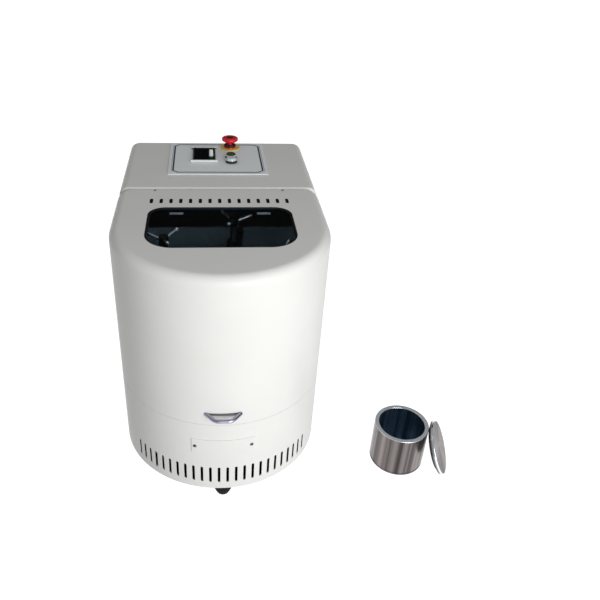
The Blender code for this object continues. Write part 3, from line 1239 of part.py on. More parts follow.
def star_screw_mesh():
    """The clamp screw: pressure pad, spindle, lock nut and a three-armed star handle."""
    pad_bottom = LID_TOP + GAP
    pad_top = pad_bottom + SCREW_PAD_HEIGHT
    nut_bottom = BRIDGE_TOP + RUNNING_GAP
    nut_top = nut_bottom + LOCK_NUT_HEIGHT
    hub_top = STAR_HUB_BOTTOM + STAR_HUB_HEIGHT
    screw = revolve([(0, pad_bottom), (SCREW_PAD_RADIUS, pad_bottom), (SCREW_PAD_RADIUS, pad_top),
                     (SCREW_RADIUS, pad_top), (SCREW_RADIUS, nut_bottom), (LOCK_NUT_RADIUS, nut_bottom),
                     (LOCK_NUT_RADIUS, nut_top), (SCREW_RADIUS, nut_top),
                     (SCREW_RADIUS, STAR_HUB_BOTTOM), (STAR_HUB_RADIUS, STAR_HUB_BOTTOM),
                     (STAR_HUB_RADIUS, hub_top - SHELL_WALL), (STAR_HUB_RADIUS - SHELL_WALL, hub_top),
                     (0, hub_top)], SCREW_FACETS)
    arm_height = STAR_HUB_BOTTOM + STAR_HUB_HEIGHT / 2
    arms, knobs = [], []
    for index in range(STAR_ARM_COUNT):
        angle = STAR_ANGLE + math.tau * index / STAR_ARM_COUNT
        out = Vector((math.cos(angle), math.sin(angle), 0))
        start = out * STAR_HUB_RADIUS / 2 + Vector((0, 0, arm_height))
        end = out * STAR_REACH + Vector((0, 0, arm_height))
        arms.append(rod([start, end], STAR_ARM_RADIUS, STAR_ARM_FACETS))
        knobs.append(ball(STAR_BALL_RADIUS, end, STAR_ARM_FACETS))
    return add(add(screw, arms), knobs)


def build_stations(frame, looks):
    """Holder, bridge and screw on every station, and a closed jar on all but the front one."""
    holder = holder_mesh()
    bridge = bridge_mesh()
    screw = star_screw_mesh()
    jar = moved(jar_mesh(STATION_JAR_FACETS), Matrix.Translation((0, 0, JAR_BOTTOM)))
    lid = moved(lid_mesh(STATION_JAR_FACETS), Matrix.Translation((0, 0, LID_UNDERSIDE)))
    front_station = min(stations(), key=lambda station: station[1][1])[0]
    for number, place, turn in stations():
        add_piece(f"jar_holder_{number}", holder, looks["plated_steel"], frame, place, turn)
        add_piece(f"clamp_bridge_{number}", bridge, looks["dark_steel"], frame, place, turn)
        add_piece(f"clamp_screw_{number}", screw, looks["chrome"], frame, place, turn)
        if number != front_station:
            add_piece(f"jar_{number}", jar, looks["stainless"], frame, place, turn)
            add_piece(f"jar_lid_{number}", lid, looks["stainless"], frame, place, turn)


# The jar that stands beside the mill

def build_loose_jar(frame, looks):
    """The front station's jar, taken out, with its lid leaning against it."""
    stand = (LOOSE_JAR_X, LOOSE_JAR_Y, 0)
    add_piece("loose_jar", jar_mesh(JAR_FACETS), looks["stainless"], frame, stand)

    lid = lid_mesh(JAR_FACETS)
    lean = Matrix.Rotation(math.pi / 2 - LID_LEAN, 4, "Y")
    moved(lid, lean)
    lowest = min(vertex.co.z for vertex in lid.vertices)
    nearest = min(vertex.co.x for vertex in lid.vertices if vertex.co.z - lowest < JAR_HEIGHT)
    moved(lid, Matrix.Translation((JAR_RADIUS + GAP - nearest, 0, -lowest)))
    moved(lid, Matrix.Rotation(LID_SIDE_ANGLE, 4, "Z"))
    add_piece("loose_jar_lid", lid, looks["stainless"], frame, stand)


def centre_on_origin(frame):
    """Slide everything so that the middle of the set's footprint is the world origin."""
    bpy.context.view_layer.update()
    corners = [piece.matrix_world @ vertex.co for piece in frame.children
               for vertex in piece.data.vertices]
    for axis in (0, 1):
        values = [corner[axis] for corner in corners]
        frame.location[axis] = -(min(values) + max(values)) / 2


def build_mill():
    """Build the whole set."""
    clear_scene()
    looks = make_materials()
    frame = bpy.data.objects.new("mill_frame", None)
    bpy.context.scene.collection.objects.link(frame)
    build_base(frame, looks)
    build_deck(frame, looks)
    build_gears(frame, looks)
    build_carrier(frame, looks)
    build_belt_and_motor(frame, looks)
    build_stations(frame, looks)
    build_cabinet(frame, looks)
    build_hinge_brackets(frame, looks)
    build_hood(frame, looks)
    build_controls(frame, looks)
    build_loose_jar(frame, looks)
    centre_on_origin(frame)
    bpy.context.view_layer.update()


build_mill()
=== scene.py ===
# %% [markdown]
# # A laboratory ball mill and one of its jars
# This file dresses a finished mechanical model. The solids come in ready made, each named
# and in its place, and are never moved. What is added here is what a camera sees: finer
# sheet metal, real edges on holes, screws, finishes, a floor, lights and a camera.
# Lengths are in metres, z is up, and the curved front of the mill faces minus y.

import json
import math

import bmesh
import bpy
from mathutils import Matrix, Vector

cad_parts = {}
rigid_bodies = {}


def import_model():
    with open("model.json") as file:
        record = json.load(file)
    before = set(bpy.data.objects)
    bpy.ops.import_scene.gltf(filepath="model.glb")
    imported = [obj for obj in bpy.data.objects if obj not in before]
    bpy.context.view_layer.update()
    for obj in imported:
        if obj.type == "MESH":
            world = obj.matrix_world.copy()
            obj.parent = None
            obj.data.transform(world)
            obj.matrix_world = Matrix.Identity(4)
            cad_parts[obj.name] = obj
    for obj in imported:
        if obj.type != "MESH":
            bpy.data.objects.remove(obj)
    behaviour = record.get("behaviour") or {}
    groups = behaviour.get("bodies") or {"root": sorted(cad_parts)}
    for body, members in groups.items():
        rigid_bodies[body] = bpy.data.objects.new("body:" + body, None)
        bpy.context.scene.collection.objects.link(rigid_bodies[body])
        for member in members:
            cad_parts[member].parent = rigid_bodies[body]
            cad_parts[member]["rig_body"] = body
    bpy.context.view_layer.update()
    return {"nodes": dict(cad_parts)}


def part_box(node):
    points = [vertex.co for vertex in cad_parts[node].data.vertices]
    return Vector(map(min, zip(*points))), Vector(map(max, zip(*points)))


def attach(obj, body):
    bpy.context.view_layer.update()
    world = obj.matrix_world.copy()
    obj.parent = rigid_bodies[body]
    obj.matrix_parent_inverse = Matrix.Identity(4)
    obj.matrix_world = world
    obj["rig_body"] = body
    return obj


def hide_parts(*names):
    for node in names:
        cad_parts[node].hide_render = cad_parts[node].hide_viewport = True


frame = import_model()

# %% [markdown]
# The mill's shapes are easiest to think of from the axis of its big drive wheel. Its place is
# read from the hood: the hood is symmetric about it, and its front is an ellipse round it.

# %% Where the drive axis is, and the main sizes of the body
BODY_WIDTH = 0.470
FRONT_BULGE = 0.228
BODY_REAR = 0.522
HOOD_REAR = 0.188
CABINET_FRONT = 0.1895
FLOOR_CLEARANCE = 0.040
BASE_TOP = 0.236
HOOD_BOTTOM = 0.2368
BODY_TOP = 0.601
TOP_FILLET = 0.020
WALL = 0.003
HAIR = 0.0003

hood_low, hood_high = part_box("hood_shell")
AXIS = Vector(((hood_low.x + hood_high.x) / 2, hood_low.y + FRONT_BULGE, 0))
print("drive axis at", [round(v, 4) for v in AXIS])

# %% [markdown]
# Most pieces are either turned (a profile spun round an axis) or lofted (a row of outlines
# joined by faces). Both are a few lines with plain lists of points, and they give clean quads
# where a boolean would leave slivers. Only openings and slots are cut with booleans afterwards.

# %% From points and faces to a mesh
FULL_TURN = math.tau
MERGE_DISTANCE = 1e-7


def mesh_of(points, faces):
    """A mesh with its faces pointing outwards."""
    mesh = bpy.data.meshes.new("shape")
    mesh.from_pydata([tuple(p) for p in points], [], faces)
    work = bmesh.new()
    work.from_mesh(mesh)
    bmesh.ops.remove_doubles(work, verts=work.verts, dist=MERGE_DISTANCE)
    bmesh.ops.recalc_face_normals(work, faces=work.faces)
    work.to_mesh(mesh)
    work.free()
    return mesh


def arc(centre, radii, first, last, steps):
    """Points along part of an ellipse."""
    return [(centre[0] + radii[0] * math.cos(first + (last - first) * k / steps),
             centre[1] + radii[1] * math.sin(first + (last - first) * k / steps))
            for k in range(steps + 1)]


quarter = arc((0, 0), (1, 1), 0, FULL_TURN / 4, 2)
print("middle of a quarter arc:", [round(v, 3) for v in quarter[1]])

# %% [markdown]
# A turned solid is what a lathe makes: every point of the profile becomes a circle, and a point
# on the axis stays one point. The Spin tool could do it too, but plain lists keep every number
# in sight.

# %% Turned solids
def turned(profile, steps=96):
    """A closed solid from a profile of (radius, height), spun round the upright axis.

    A profile that starts away from the axis is closed into a ring."""
    points, faces, rows = [], [], []
    for radius, height in profile:
        count = 1 if radius == 0 else steps
        rows.append((len(points), count))
        points += [(radius * math.cos(FULL_TURN * k / steps),
                    radius * math.sin(FULL_TURN * k / steps), height) for k in range(count)]
    pairs = list(zip(rows, rows[1:]))
    if profile[0][0] > 0:
        pairs.append((rows[-1], rows[0]))
    for (low, low_count), (high, high_count) in pairs:
        for k in range(steps):
            following = (k + 1) % steps
            corners = [low + k % low_count, low + following % low_count,
                       high + following % high_count, high + k % high_count]
            faces.append(list(dict.fromkeys(corners)))
    return mesh_of(points, faces)


print("a turned disc has", len(turned([(0, 0), (1, 0), (1, 1), (0, 1)]).polygons), "faces")

# %% [markdown]
# A loft joins a row of outlines that all have the same number of points, as the planks of a
# boat join its ribs. Shells, plates and rods are all lofts with more or fewer outlines.

# %% Lofted solids
def lofted(rings, ring_of_rings=False):
    """A solid through a row of outlines that have the same number of points.

    The two ends are capped, unless the row itself closes into a ring."""
    size = len(rings[0])
    points = [p for ring in rings for p in ring]
    faces = []
    pairs = [(k, k + 1) for k in range(len(rings) - 1)]
    if ring_of_rings:
        pairs.append((len(rings) - 1, 0))
    for low, high in pairs:
        for k in range(size):
            following = (k + 1) % size
            faces.append([low * size + k, low * size + following,
                          high * size + following, high * size + k])
    if not ring_of_rings:
        faces += [list(range(size)), list(range(len(points) - size, len(points)))]
    return mesh_of(points, faces)


three_outlines = [[(0, 0, k), (1, 0, k), (0, 1, k)] for k in range(3)]
print("a loft of three triangles has", len(lofted(three_outlines).polygons), "faces")

# %% [markdown]
# A plate is the shortest loft, with two outlines. A piece is modelled where that is easy and
# then moved by changing its points, so that the object itself stays at the origin.

# %% Plates, moves and joins
def at_height(outline, height):
    """A flat outline lifted to a height."""
    return [(x, y, height) for x, y in outline]


def slab(outline, bottom, top):
    """A flat plate."""
    return lofted([at_height(outline, bottom), at_height(outline, top)])


def put(mesh, where):
    """The same mesh after a move or turn."""
    mesh.transform(where if isinstance(where, Matrix) else Matrix.Translation(where))
    return mesh


def together(meshes):
    """Several meshes as one."""
    work = bmesh.new()
    for mesh in meshes:
        work.from_mesh(mesh)
    whole = bpy.data.meshes.new("shape")
    work.to_mesh(whole)
    work.free()
    return whole


print("a square plate has", len(slab([(0, 0), (1, 0), (1, 1), (0, 1)], 0, 1).polygons), "faces")

# %% [markdown]
# Openings are cut with the Boolean modifier and edges are softened with Bevel. Both run on a
# passing object, and only the finished mesh is kept, because the export wants plain meshes. No
# real sheet has a perfectly sharp edge, and the small bevels are what catches the light.

# %% Cutting and softening
def through_modifiers(mesh, add_modifiers):
    """The mesh after the modifiers that add_modifiers puts on a passing object."""
    passing = bpy.data.objects.new("passing", mesh)
    bpy.context.scene.collection.objects.link(passing)
    add_modifiers(passing)
    bpy.context.view_layer.update()
    result = bpy.data.meshes.new_from_object(
        passing.evaluated_get(bpy.context.evaluated_depsgraph_get()))
    bpy.data.objects.remove(passing)
    return result


def cut_with(mesh, cutters):
    """The mesh without what the cutters cover."""
    tool = bpy.data.objects.new("tool", together(cutters))
    bpy.context.scene.collection.objects.link(tool)

    def boolean(passing):
        step = passing.modifiers.new("cut", "BOOLEAN")
        step.operation, step.solver, step.object = "DIFFERENCE", "EXACT", tool

    result = through_modifiers(mesh, boolean)
    bpy.data.objects.remove(tool)
    return result


def eased(mesh, width, segments=2, from_angle=50):
    """The mesh with its sharp edges rounded over."""
    def bevel(passing):
        step = passing.modifiers.new("edges", "BEVEL")
        step.width, step.segments = width, segments
        step.limit_method, step.angle_limit = "ANGLE", math.radians(from_angle)
        step.use_clamp_overlap = True
        step.miter_outer = "MITER_ARC"
    return through_modifiers(mesh, bevel)


print("cutting helpers ready")

# %% [markdown]
# A finished mesh becomes an object, gets its finish and is handed over with the body that it
# moves with. Where it dresses a solid of the model, that solid is named and no longer shows.
# Faces are shaded smooth up to an angle, so long curves look soft and real edges stay crisp.

# %% Setting a finished piece in the scene
def show(name, mesh, finish, body, slot, stands_for=(), crease=40, pick=None):
    """Put a finished mesh in the scene, riding on a body, with flat faces kept flat.

    With several finishes, pick says for a face's middle and normal which one it takes."""
    mesh.materials.clear()
    for one in finish if isinstance(finish, list) else [finish]:
        mesh.materials.append(one)
    for face in mesh.polygons:
        face.material_index = pick(face.center, face.normal) if pick else 0
    mesh.shade_smooth()
    mesh.set_sharp_from_angle(angle=math.radians(crease))

    def even_normals(passing):
        step = passing.modifiers.new("even", "WEIGHTED_NORMAL")
        step.keep_sharp = True
    mesh = through_modifiers(mesh, even_normals)
    mesh.name = name
    piece = bpy.data.objects.new(name, mesh)
    bpy.context.scene.collection.objects.link(piece)
    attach(piece, body)
    if stands_for:
        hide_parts(*stands_for)
    print(f"{name}: {len(mesh.polygons)} faces")
    return piece


def cover_node(name, mesh, finish, slot, node, crease=40, pick=None):
    """Show a finer piece in place of one solid of the model."""
    body = frame["nodes"][node]["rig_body"]
    return show(name, mesh, finish, body, slot, (node,), crease, pick)


print("piece helpers ready")

# %% [markdown]
# ## Finishes
# Stove enamel has a very fine orange peel, turned steel gets painted reflections as light and
# dark bands round its axis, and rubber is almost without shine. Each effect is one small node
# group that gives a value or a normal, and every finish plugs it into a Principled shader. The
# patterns read Object coordinates, which are the same as real places here because no piece is
# moved.

# %% A new group, and one Math node
def new_group(name, inputs, outputs):
    """An empty shader node group with float inputs and float or colour outputs."""
    tree = bpy.data.node_groups.new(name, "ShaderNodeTree")
    for label, value in inputs.items():
        socket = tree.interface.new_socket(label, in_out="INPUT", socket_type="NodeSocketFloat")
        socket.default_value = value
    for label, kind in outputs.items():
        tree.interface.new_socket(label, in_out="OUTPUT", socket_type=kind)
    return tree, tree.nodes.new("NodeGroupInput"), tree.nodes.new("NodeGroupOutput")


def feed(tree, socket, value):
    """Give a socket a plain number, or link another socket to it."""
    if isinstance(value, (int, float)):
        socket.default_value = value
    else:
        tree.links.new(value, socket)


def maths(tree, operation, *operands):
    """One Math node; each operand is a number or a socket."""
    node = tree.nodes.new("ShaderNodeMath")
    node.operation = operation
    for socket, operand in zip(node.inputs, operands):
        feed(tree, socket, operand)
    return node.outputs[0]


print("node helpers ready")

# %% Patterns that read Object coordinates
def object_noise(tree, scale):
    """Noise on Object coordinates."""
    place = tree.nodes.new("ShaderNodeTexCoord")
    noise = tree.nodes.new("ShaderNodeTexNoise")
    noise.inputs["Detail"].default_value = 3.0
    tree.links.new(place.outputs["Object"], noise.inputs["Vector"])
    feed(tree, noise.inputs["Scale"], scale)
    return noise.outputs["Fac"]


def object_axes(tree):
    """The x, y and z of Object coordinates, as three sockets."""
    place = tree.nodes.new("ShaderNodeTexCoord")
    parts = tree.nodes.new("ShaderNodeSeparateXYZ")
    tree.links.new(place.outputs["Object"], parts.inputs[0])
    return parts.outputs


print("pattern helpers ready")

# %% [markdown]
# No surface is quite even. Fine noise as a bump is the grain that a fingertip would feel, and
# broad noise makes patches that only the eye sees. Both sit in one group, so every finish is
# built alike and has only its own strength.

# %% The grain that several finishes share
def make_grain_group():
    """Fine all-round grain: a bump normal and a value that varies slowly about zero."""
    tree, given, out = new_group(
        "surface_grain", {"Grain scale": 900.0, "Bump": 0.05, "Patch scale": 9.0},
        {"Normal": "NodeSocketVector", "Patches": "NodeSocketFloat"})
    fine = object_noise(tree, given.outputs["Grain scale"])
    bump = tree.nodes.new("ShaderNodeBump")
    bump.inputs["Distance"].default_value = GRAIN_DEPTH
    tree.links.new(fine, bump.inputs["Height"])
    tree.links.new(given.outputs["Bump"], bump.inputs["Strength"])
    tree.links.new(bump.outputs[0], out.inputs["Normal"])
    patches = maths(tree, "SUBTRACT", object_noise(tree, given.outputs["Patch scale"]), 0.5)
    tree.links.new(patches, out.inputs["Patches"])
    return tree


GRAIN_DEPTH = 0.0002
GRAIN = make_grain_group()
print("grain group ready")

# %% [markdown]
# A finish is a colour, a roughness and the grain group's two outputs: one tilts the surface a
# hair, the other lets colour and gloss wander by a few hundredths. Numbers that are the same
# all over, such as metallic and specular level, go straight on the shader.

# %% What every finish needs
def new_material(name, **values):
    """A material, its node tree and its Principled shader, with plain values set on it."""
    material = bpy.data.materials.new(name)
    material.use_nodes = True
    shader = material.node_tree.nodes["Principled BSDF"]
    for label, value in values.items():
        shader.inputs[label.replace("_", " ")].default_value = value
    return material, material.node_tree, shader


def placed_group(tree, group):
    """A shared node group, placed in a material."""
    node = tree.nodes.new("ShaderNodeGroup")
    node.node_tree = group
    return node


def multiplied(tree, colour, factor):
    """A plain colour made darker or lighter by a value that changes over the surface."""
    tint = tree.nodes.new("ShaderNodeMix")
    tint.data_type, tint.blend_type = "RGBA", "MULTIPLY"
    tint.inputs["Factor"].default_value = 1.0
    tint.inputs[6].default_value = (*colour, 1)
    tree.links.new(factor, tint.inputs[7])
    return tint.outputs[2]


print("material helpers ready")

# %% One builder for all the plain finishes
GLOSS_PATCHES = 0.1


def finish_of(name, colour, roughness, metallic=0.0, bump=0.05, grain=900.0, patches=0.03,
              specular=0.5):
    """A Principled finish whose colour and gloss wander a little, as real surfaces do."""
    material, tree, shader = new_material(name, Metallic=metallic, Specular_IOR_Level=specular)
    group = placed_group(tree, GRAIN)
    group.inputs["Bump"].default_value = bump
    group.inputs["Grain scale"].default_value = grain
    tree.links.new(group.outputs["Normal"], shader.inputs["Normal"])
    wander = maths(tree, "MULTIPLY_ADD", group.outputs["Patches"], patches * 2, 1.0)
    tree.links.new(multiplied(tree, colour, wander), shader.inputs["Base Color"])
    rough = maths(tree, "MULTIPLY_ADD", group.outputs["Patches"], GLOSS_PATCHES, roughness)
    tree.links.new(rough, shader.inputs["Roughness"])
    material.diffuse_color = (*colour, 1)
    return material


print("finish builder ready")

# %% [markdown]
# The colours follow the photograph where it shows them: off-white enamel outside, coloured
# plastic on the controls, and quiet blues and greys for what is seen through the smoked window.
# The motor and the castings behind have the usual colours of such parts.

# %% The mill's finishes
enamel = finish_of("white_enamel", (0.82, 0.82, 0.80), 0.38, bump=0.04, grain=700, specular=0.22)
plated = finish_of("plated_steel", (0.52, 0.53, 0.54), 0.36, metallic=1.0)
dark_steel = finish_of("blackened_steel", (0.05, 0.055, 0.06), 0.42, metallic=0.6)
rubber = finish_of("foot_rubber", (0.008, 0.008, 0.009), 0.75, bump=0.15, grain=500, specular=0.12)
black_plastic = finish_of("black_plastic", (0.014, 0.014, 0.015), 0.42)
red_plastic = finish_of("red_plastic", (0.80, 0.010, 0.022), 0.34, bump=0.02)
yellow_plastic = finish_of("yellow_ring", (0.80, 0.66, 0.16), 0.40, bump=0.02)
green_plastic = finish_of("green_cap", (0.006, 0.085, 0.045), 0.28, bump=0.02)
white_plastic = finish_of("pale_cap", (0.70, 0.72, 0.74), 0.32, bump=0.02)
panel_sheet = finish_of("panel_sheet", (0.90, 0.94, 0.945), 0.40)
cast = finish_of("cast_iron", (0.13, 0.135, 0.14), 0.55, metallic=0.7, bump=0.3, grain=350)
motor_paint = finish_of("motor_paint", (0.05, 0.11, 0.19), 0.42, bump=0.1)
room_black = finish_of("room_black", (0.012, 0.013, 0.014), 0.60, bump=0.1, specular=0.1)
room_grey = finish_of("room_grey", (0.070, 0.100, 0.125), 0.50)
room_blue = finish_of("room_blue", (0.16, 0.24, 0.30), 0.50)
room_steel = finish_of("room_steel", (0.050, 0.055, 0.062), 0.36, metallic=0.9)
print("plain finishes ready")

# %% [markdown]
# The wall behind the grinding jars is pale blue, made brighter than its paint to stand in for
# the light that falls on it through the window. Above a line it is painted black: a painted
# shadow of the hood's top. Both are one flat sheet, so the shadow is a second colour laid over
# the paint where a mask is 1. The same helper later prints the border on the control panel.

# %% A second colour over a finish, and the wall of the grinding room with its painted shadow
def laid_over(material, mask, colour):
    """Lay a colour over a finish where the mask is 1."""
    tree = material.node_tree
    base = tree.nodes["Principled BSDF"].inputs["Base Color"]
    mix = tree.nodes.new("ShaderNodeMix")
    mix.data_type = "RGBA"
    tree.links.new(mask, mix.inputs["Factor"])
    tree.links.new(base.links[0].from_socket, mix.inputs[6])
    mix.inputs[7].default_value = (*colour, 1)
    tree.links.new(mix.outputs[2], base)


SHADE_EDGE_HEIGHT = 0.483
# Pale blue made brighter to stand in for light through the window, and above a fixed height painted
# black as a painted shadow of the hood's top.
room_wall = finish_of("room_wall", (0.58, 0.84, 0.95), 0.50)
height = object_axes(room_wall.node_tree)["Z"]
laid_over(room_wall, maths(room_wall.node_tree, "GREATER_THAN", height, SHADE_EDGE_HEIGHT),
          (0.01, 0.01, 0.012))
print("the wall turns black above", SHADE_EDGE_HEIGHT)

# %% [markdown]
# ## The sheet-metal body
# The hood, the cabinet behind it and the base share one plan: straight sides and a front that
# is half an ellipse. Their top edge is rolled over in a 20 mm fillet. Each shell is lofted
# from that plan with far more points than the mechanical model has, then the window, vents
# and slots are cut and every cut edge is eased, so that it catches a thin line of light.

# %% The plan of the body, drawn in by an inset
FRONT_STEPS, CORNER_STEPS, ROLL_STEPS = 96, 10, 10
REAR_CORNER = 0.027
HOOD_CORNER = 0.032
SPLIT_ROLL = 0.006
VENT_COUNT, VENT_PITCH = 15, 0.022
VENT_WIDTH, VENT_LENGTH, VENT_Y = 0.0075, 0.0245, 0.1168


def body_plan(inset, rear, corner, rear_inset):
    """Straight sides, rounded rear corners and a half-elliptic front."""
    half, back = BODY_WIDTH / 2 - inset, rear - rear_inset
    radius = max(corner - inset, WALL / 2)
    quarter = math.pi / 2
    points = arc((0, 0), (half, FRONT_BULGE - inset), math.pi, FULL_TURN, FRONT_STEPS)
    points += arc((half - radius, back - radius), (radius, radius), 0, quarter, CORNER_STEPS)
    points += arc((radius - half, back - radius), (radius, radius), quarter, math.pi, CORNER_STEPS)
    return [(AXIS.x + x, AXIS.y + y) for x, y in points]


print("plan points:", len(body_plan(0, HOOD_REAR, HOOD_CORNER, 0)))

# %% [markdown]
# Windows, sheets and frames are rectangles with rounded corners, so one outline serves them all.

# %% Rounded rectangles
def round_box(low, high, front_corner, rear_corner, steps=CORNER_STEPS):
    """A rectangle from one corner to the other, with rounded corners."""
    (x0, y0), (x1, y1) = low, high
    quarter = math.pi / 2
    points = arc((x0 + front_corner, y0 + front_corner), (front_corner,) * 2,
                 math.pi, math.pi + quarter, steps)
    points += arc((x1 - front_corner, y0 + front_corner), (front_corner,) * 2,
                  math.pi + quarter, FULL_TURN, steps)
    points += arc((x1 - rear_corner, y1 - rear_corner), (rear_corner,) * 2, 0, quarter, steps)
    points += arc((x0 + rear_corner, y1 - rear_corner), (rear_corner,) * 2, quarter, math.pi, steps)
    return [(AXIS.x + x, AXIS.y + y) for x, y in points]


print("points of a rounded square:", len(round_box((0, 0), (1, 1), 0.1, 0.1)))

# %% [markdown]
# The rolled top edge is a quarter circle in section. Each step of it is the plan again, drawn
# in a little further and lifted a little less, which is how the loft gets an even fillet.

# %% The rolled top edge
def rolled_top(plan, bottom):
    """Rings up the wall, over the rolled edge and a little way across the top."""
    rings = [at_height(plan(0, 0), bottom), at_height(plan(0, 0), BODY_TOP - TOP_FILLET * 1.5)]
    for k in range(ROLL_STEPS + 1):
        angle = math.pi / 2 * k / ROLL_STEPS
        share = 1 - math.cos(angle)
        rings.append(at_height(plan(TOP_FILLET * share, share),
                               BODY_TOP - TOP_FILLET * (1 - math.sin(angle))))
    rings.append(at_height(plan(TOP_FILLET + WALL, 1 + WALL / SPLIT_ROLL), BODY_TOP))
    return rings


print("rings in a rolled edge:", ROLL_STEPS + 4)

# %% [markdown]
# The inside of a shell and the walls of its vents are painted black as painted shade. Which
# faces those are is told by where a face lies and which way it looks, so the shell can stay one
# mesh.

# %% The faces that look inwards
HALFWAY = 0.5


def painted_shade_inside(centre_y):
    """Which faces of a shell look into it or into a vent: those take the second finish, black as
    painted shade.

    A face counts as upright while its normal lies nearer to level than HALFWAY."""
    def pick(middle, normal):
        outward = Vector((middle.x - AXIS.x, middle.y - AXIS.y - centre_y, 0))
        under_top = normal.z < -HALFWAY and middle.z > HOOD_BOTTOM + 2 * WALL
        upright = abs(normal.z) < HALFWAY
        wall = upright and normal.dot(outward) < 0 and middle.z < BODY_TOP - 2 * HAIR
        in_vent = (upright and middle.z > BODY_TOP - 2 * WALL
                   and abs(middle.y - AXIS.y - VENT_Y) < VENT_LENGTH / 2 + HAIR)
        return int(under_top or wall or in_vent)
    return pick


print("normals under", HALFWAY, "in z belong to upright faces")

# %% [markdown]
# Air slots, screw heads and the ribs of a knurl each repeat one shape, which is what Geometry
# Nodes are good at. A tree puts the shape on every point of a small mesh and turns it by the
# angles that the point carries, so a row of slots is a list of places. The tree ends by making
# the copies real, because the result has to be a plain mesh.

# %% How every tree begins and ends
def node_tree_with(name, inputs):
    """A Geometry Nodes tree with float or integer inputs and one geometry output."""
    tree = bpy.data.node_groups.new(name, "GeometryNodeTree")
    tree.interface.new_socket("Geometry", in_out="INPUT", socket_type="NodeSocketGeometry")
    sockets = {}
    for label, value in inputs.items():
        kind = "NodeSocketInt" if isinstance(value, int) else "NodeSocketFloat"
        socket = tree.interface.new_socket(label, in_out="INPUT", socket_type=kind)
        socket.default_value = value
        sockets[label] = socket.identifier
    tree.interface.new_socket("Geometry", in_out="OUTPUT", socket_type="NodeSocketGeometry")
    return tree, tree.nodes.new("NodeGroupInput"), tree.nodes.new("NodeGroupOutput"), sockets


def made_real(tree, copies, finish, out):
    """End a tree: its copies become one mesh and get a finish."""
    realize = tree.nodes.new("GeometryNodeRealizeInstances")
    paint = tree.nodes.new("GeometryNodeSetMaterial")
    paint.inputs["Material"].default_value = finish
    tree.links.new(copies.outputs["Instances"], realize.inputs["Geometry"])
    tree.links.new(realize.outputs["Geometry"], paint.inputs["Geometry"])
    tree.links.new(paint.outputs["Geometry"], out.inputs["Geometry"])


print("tree helpers ready")

# %% Trees that copy a shape to points
ANGLES = "angles"


def copies_tree(name, shape, finish):
    """A tree that puts a shape on every point and turns it by the point's angles."""
    tree, given, out, sockets = node_tree_with(name, {"Size": 1.0})
    source = tree.nodes.new("GeometryNodeObjectInfo")
    source.inputs["Object"].default_value = bpy.data.objects.new(name, shape)
    angles = tree.nodes.new("GeometryNodeInputNamedAttribute")
    angles.data_type = "FLOAT_VECTOR"
    angles.inputs["Name"].default_value = ANGLES
    turn = tree.nodes.new("FunctionNodeEulerToRotation")
    copies = tree.nodes.new("GeometryNodeInstanceOnPoints")
    tree.links.new(angles.outputs["Attribute"], turn.inputs["Euler"])
    tree.links.new(given.outputs["Geometry"], copies.inputs["Points"])
    tree.links.new(source.outputs["Geometry"], copies.inputs["Instance"])
    tree.links.new(turn.outputs["Rotation"], copies.inputs["Rotation"])
    tree.links.new(given.outputs["Size"], copies.inputs["Scale"])
    made_real(tree, copies, finish, out)
    return tree, sockets


print("a copy turns by its point's attribute:", ANGLES)

# %% [markdown]
# To use a tree, its modifier goes on a mesh of bare points, the inputs get their values by the
# identifiers of their sockets, and the result is taken over as a plain mesh. The first shape to
# be repeated is the cutter of the vents, a slot with round ends.

# %% A row of copies as a plain mesh
def grown(tree_and_sockets, sizes, spots=(((0, 0, 0), (0, 0, 0)),)):
    """The plain mesh that a tree makes from spots, each a place and its angles."""
    tree, sockets = tree_and_sockets
    points = bpy.data.meshes.new("points")
    points.from_pydata([tuple(place) for place, _ in spots], [], [])
    carried_angles = points.attributes.new(ANGLES, "FLOAT_VECTOR", "POINT")
    for entry, (_, angles) in zip(carried_angles.data, spots):
        entry.vector = angles

    def nodes_on(passing):
        step = passing.modifiers.new("nodes", "NODES")
        step.node_group = tree
        for label, value in sizes.items():
            step[sockets[label]] = value
    return through_modifiers(points, nodes_on)


def slot_cutter(width, length, depth, steps=8):
    """A slot with round ends, long in y, round the origin."""
    radius, flat = width / 2, length / 2 - width / 2
    outline = (arc((0, flat), (radius, radius), 0, math.pi, steps)
               + arc((0, -flat), (radius, radius), math.pi, FULL_TURN, steps))
    return slab(outline, -depth / 2, depth / 2)


VENTS = copies_tree("vents", slot_cutter(VENT_WIDTH, VENT_LENGTH, 3 * WALL), room_black)
print("one cutter for", VENT_COUNT, "vents")

# %% [markdown]
# The hood is one pressed shell that swings back on two hinges. It could be a thin skin with a
# Solidify modifier, but the loft goes up the outside and down the inside at once, so the wall
# is as thick as the real sheet and the rolled edge stays round on both sides.

# %% What is cut from the hood
def block(x_range, y_range, z_range):
    """A plain box between two limits on each axis, measured from the drive axis."""
    outline = [(AXIS.x + x, AXIS.y + y) for x, y in (
        (x_range[0], y_range[0]), (x_range[1], y_range[0]),
        (x_range[1], y_range[1]), (x_range[0], y_range[1]))]
    return slab(outline, *z_range)


WINDOW = ((-0.158, -0.107), (0.158, 0.083))
WINDOW_FRONT_CORNER, WINDOW_REAR_CORNER = 0.060, 0.038
HINGE_SPACING, HINGE_SLOT = 0.300, 0.0028
DECK_TOP = 0.2423
BELOW_SEAM = 0.230
# What is cut from the hood's rear wall: its opening, and room for the edge of the deck.
HOOD_OPENING = ((-0.2165, 0.2165), (0.172, 0.204), (BELOW_SEAM, BODY_TOP - 0.030))
HOOD_DECK_ROOM = ((-0.232, 0.232), (0.156, 0.220), (BELOW_SEAM, DECK_TOP + 0.0008))
HOOD_HINGE_ROOM = ((0.1745, 0.2015), (BODY_TOP - 0.034, BODY_TOP + 0.004))
CUT_EDGE = 0.0006


def hood_plan(inset, share):
    """The hood's plan; its straight rear edge rolls with a smaller radius."""
    return body_plan(inset, HOOD_REAR, HOOD_CORNER, SPLIT_ROLL * share)


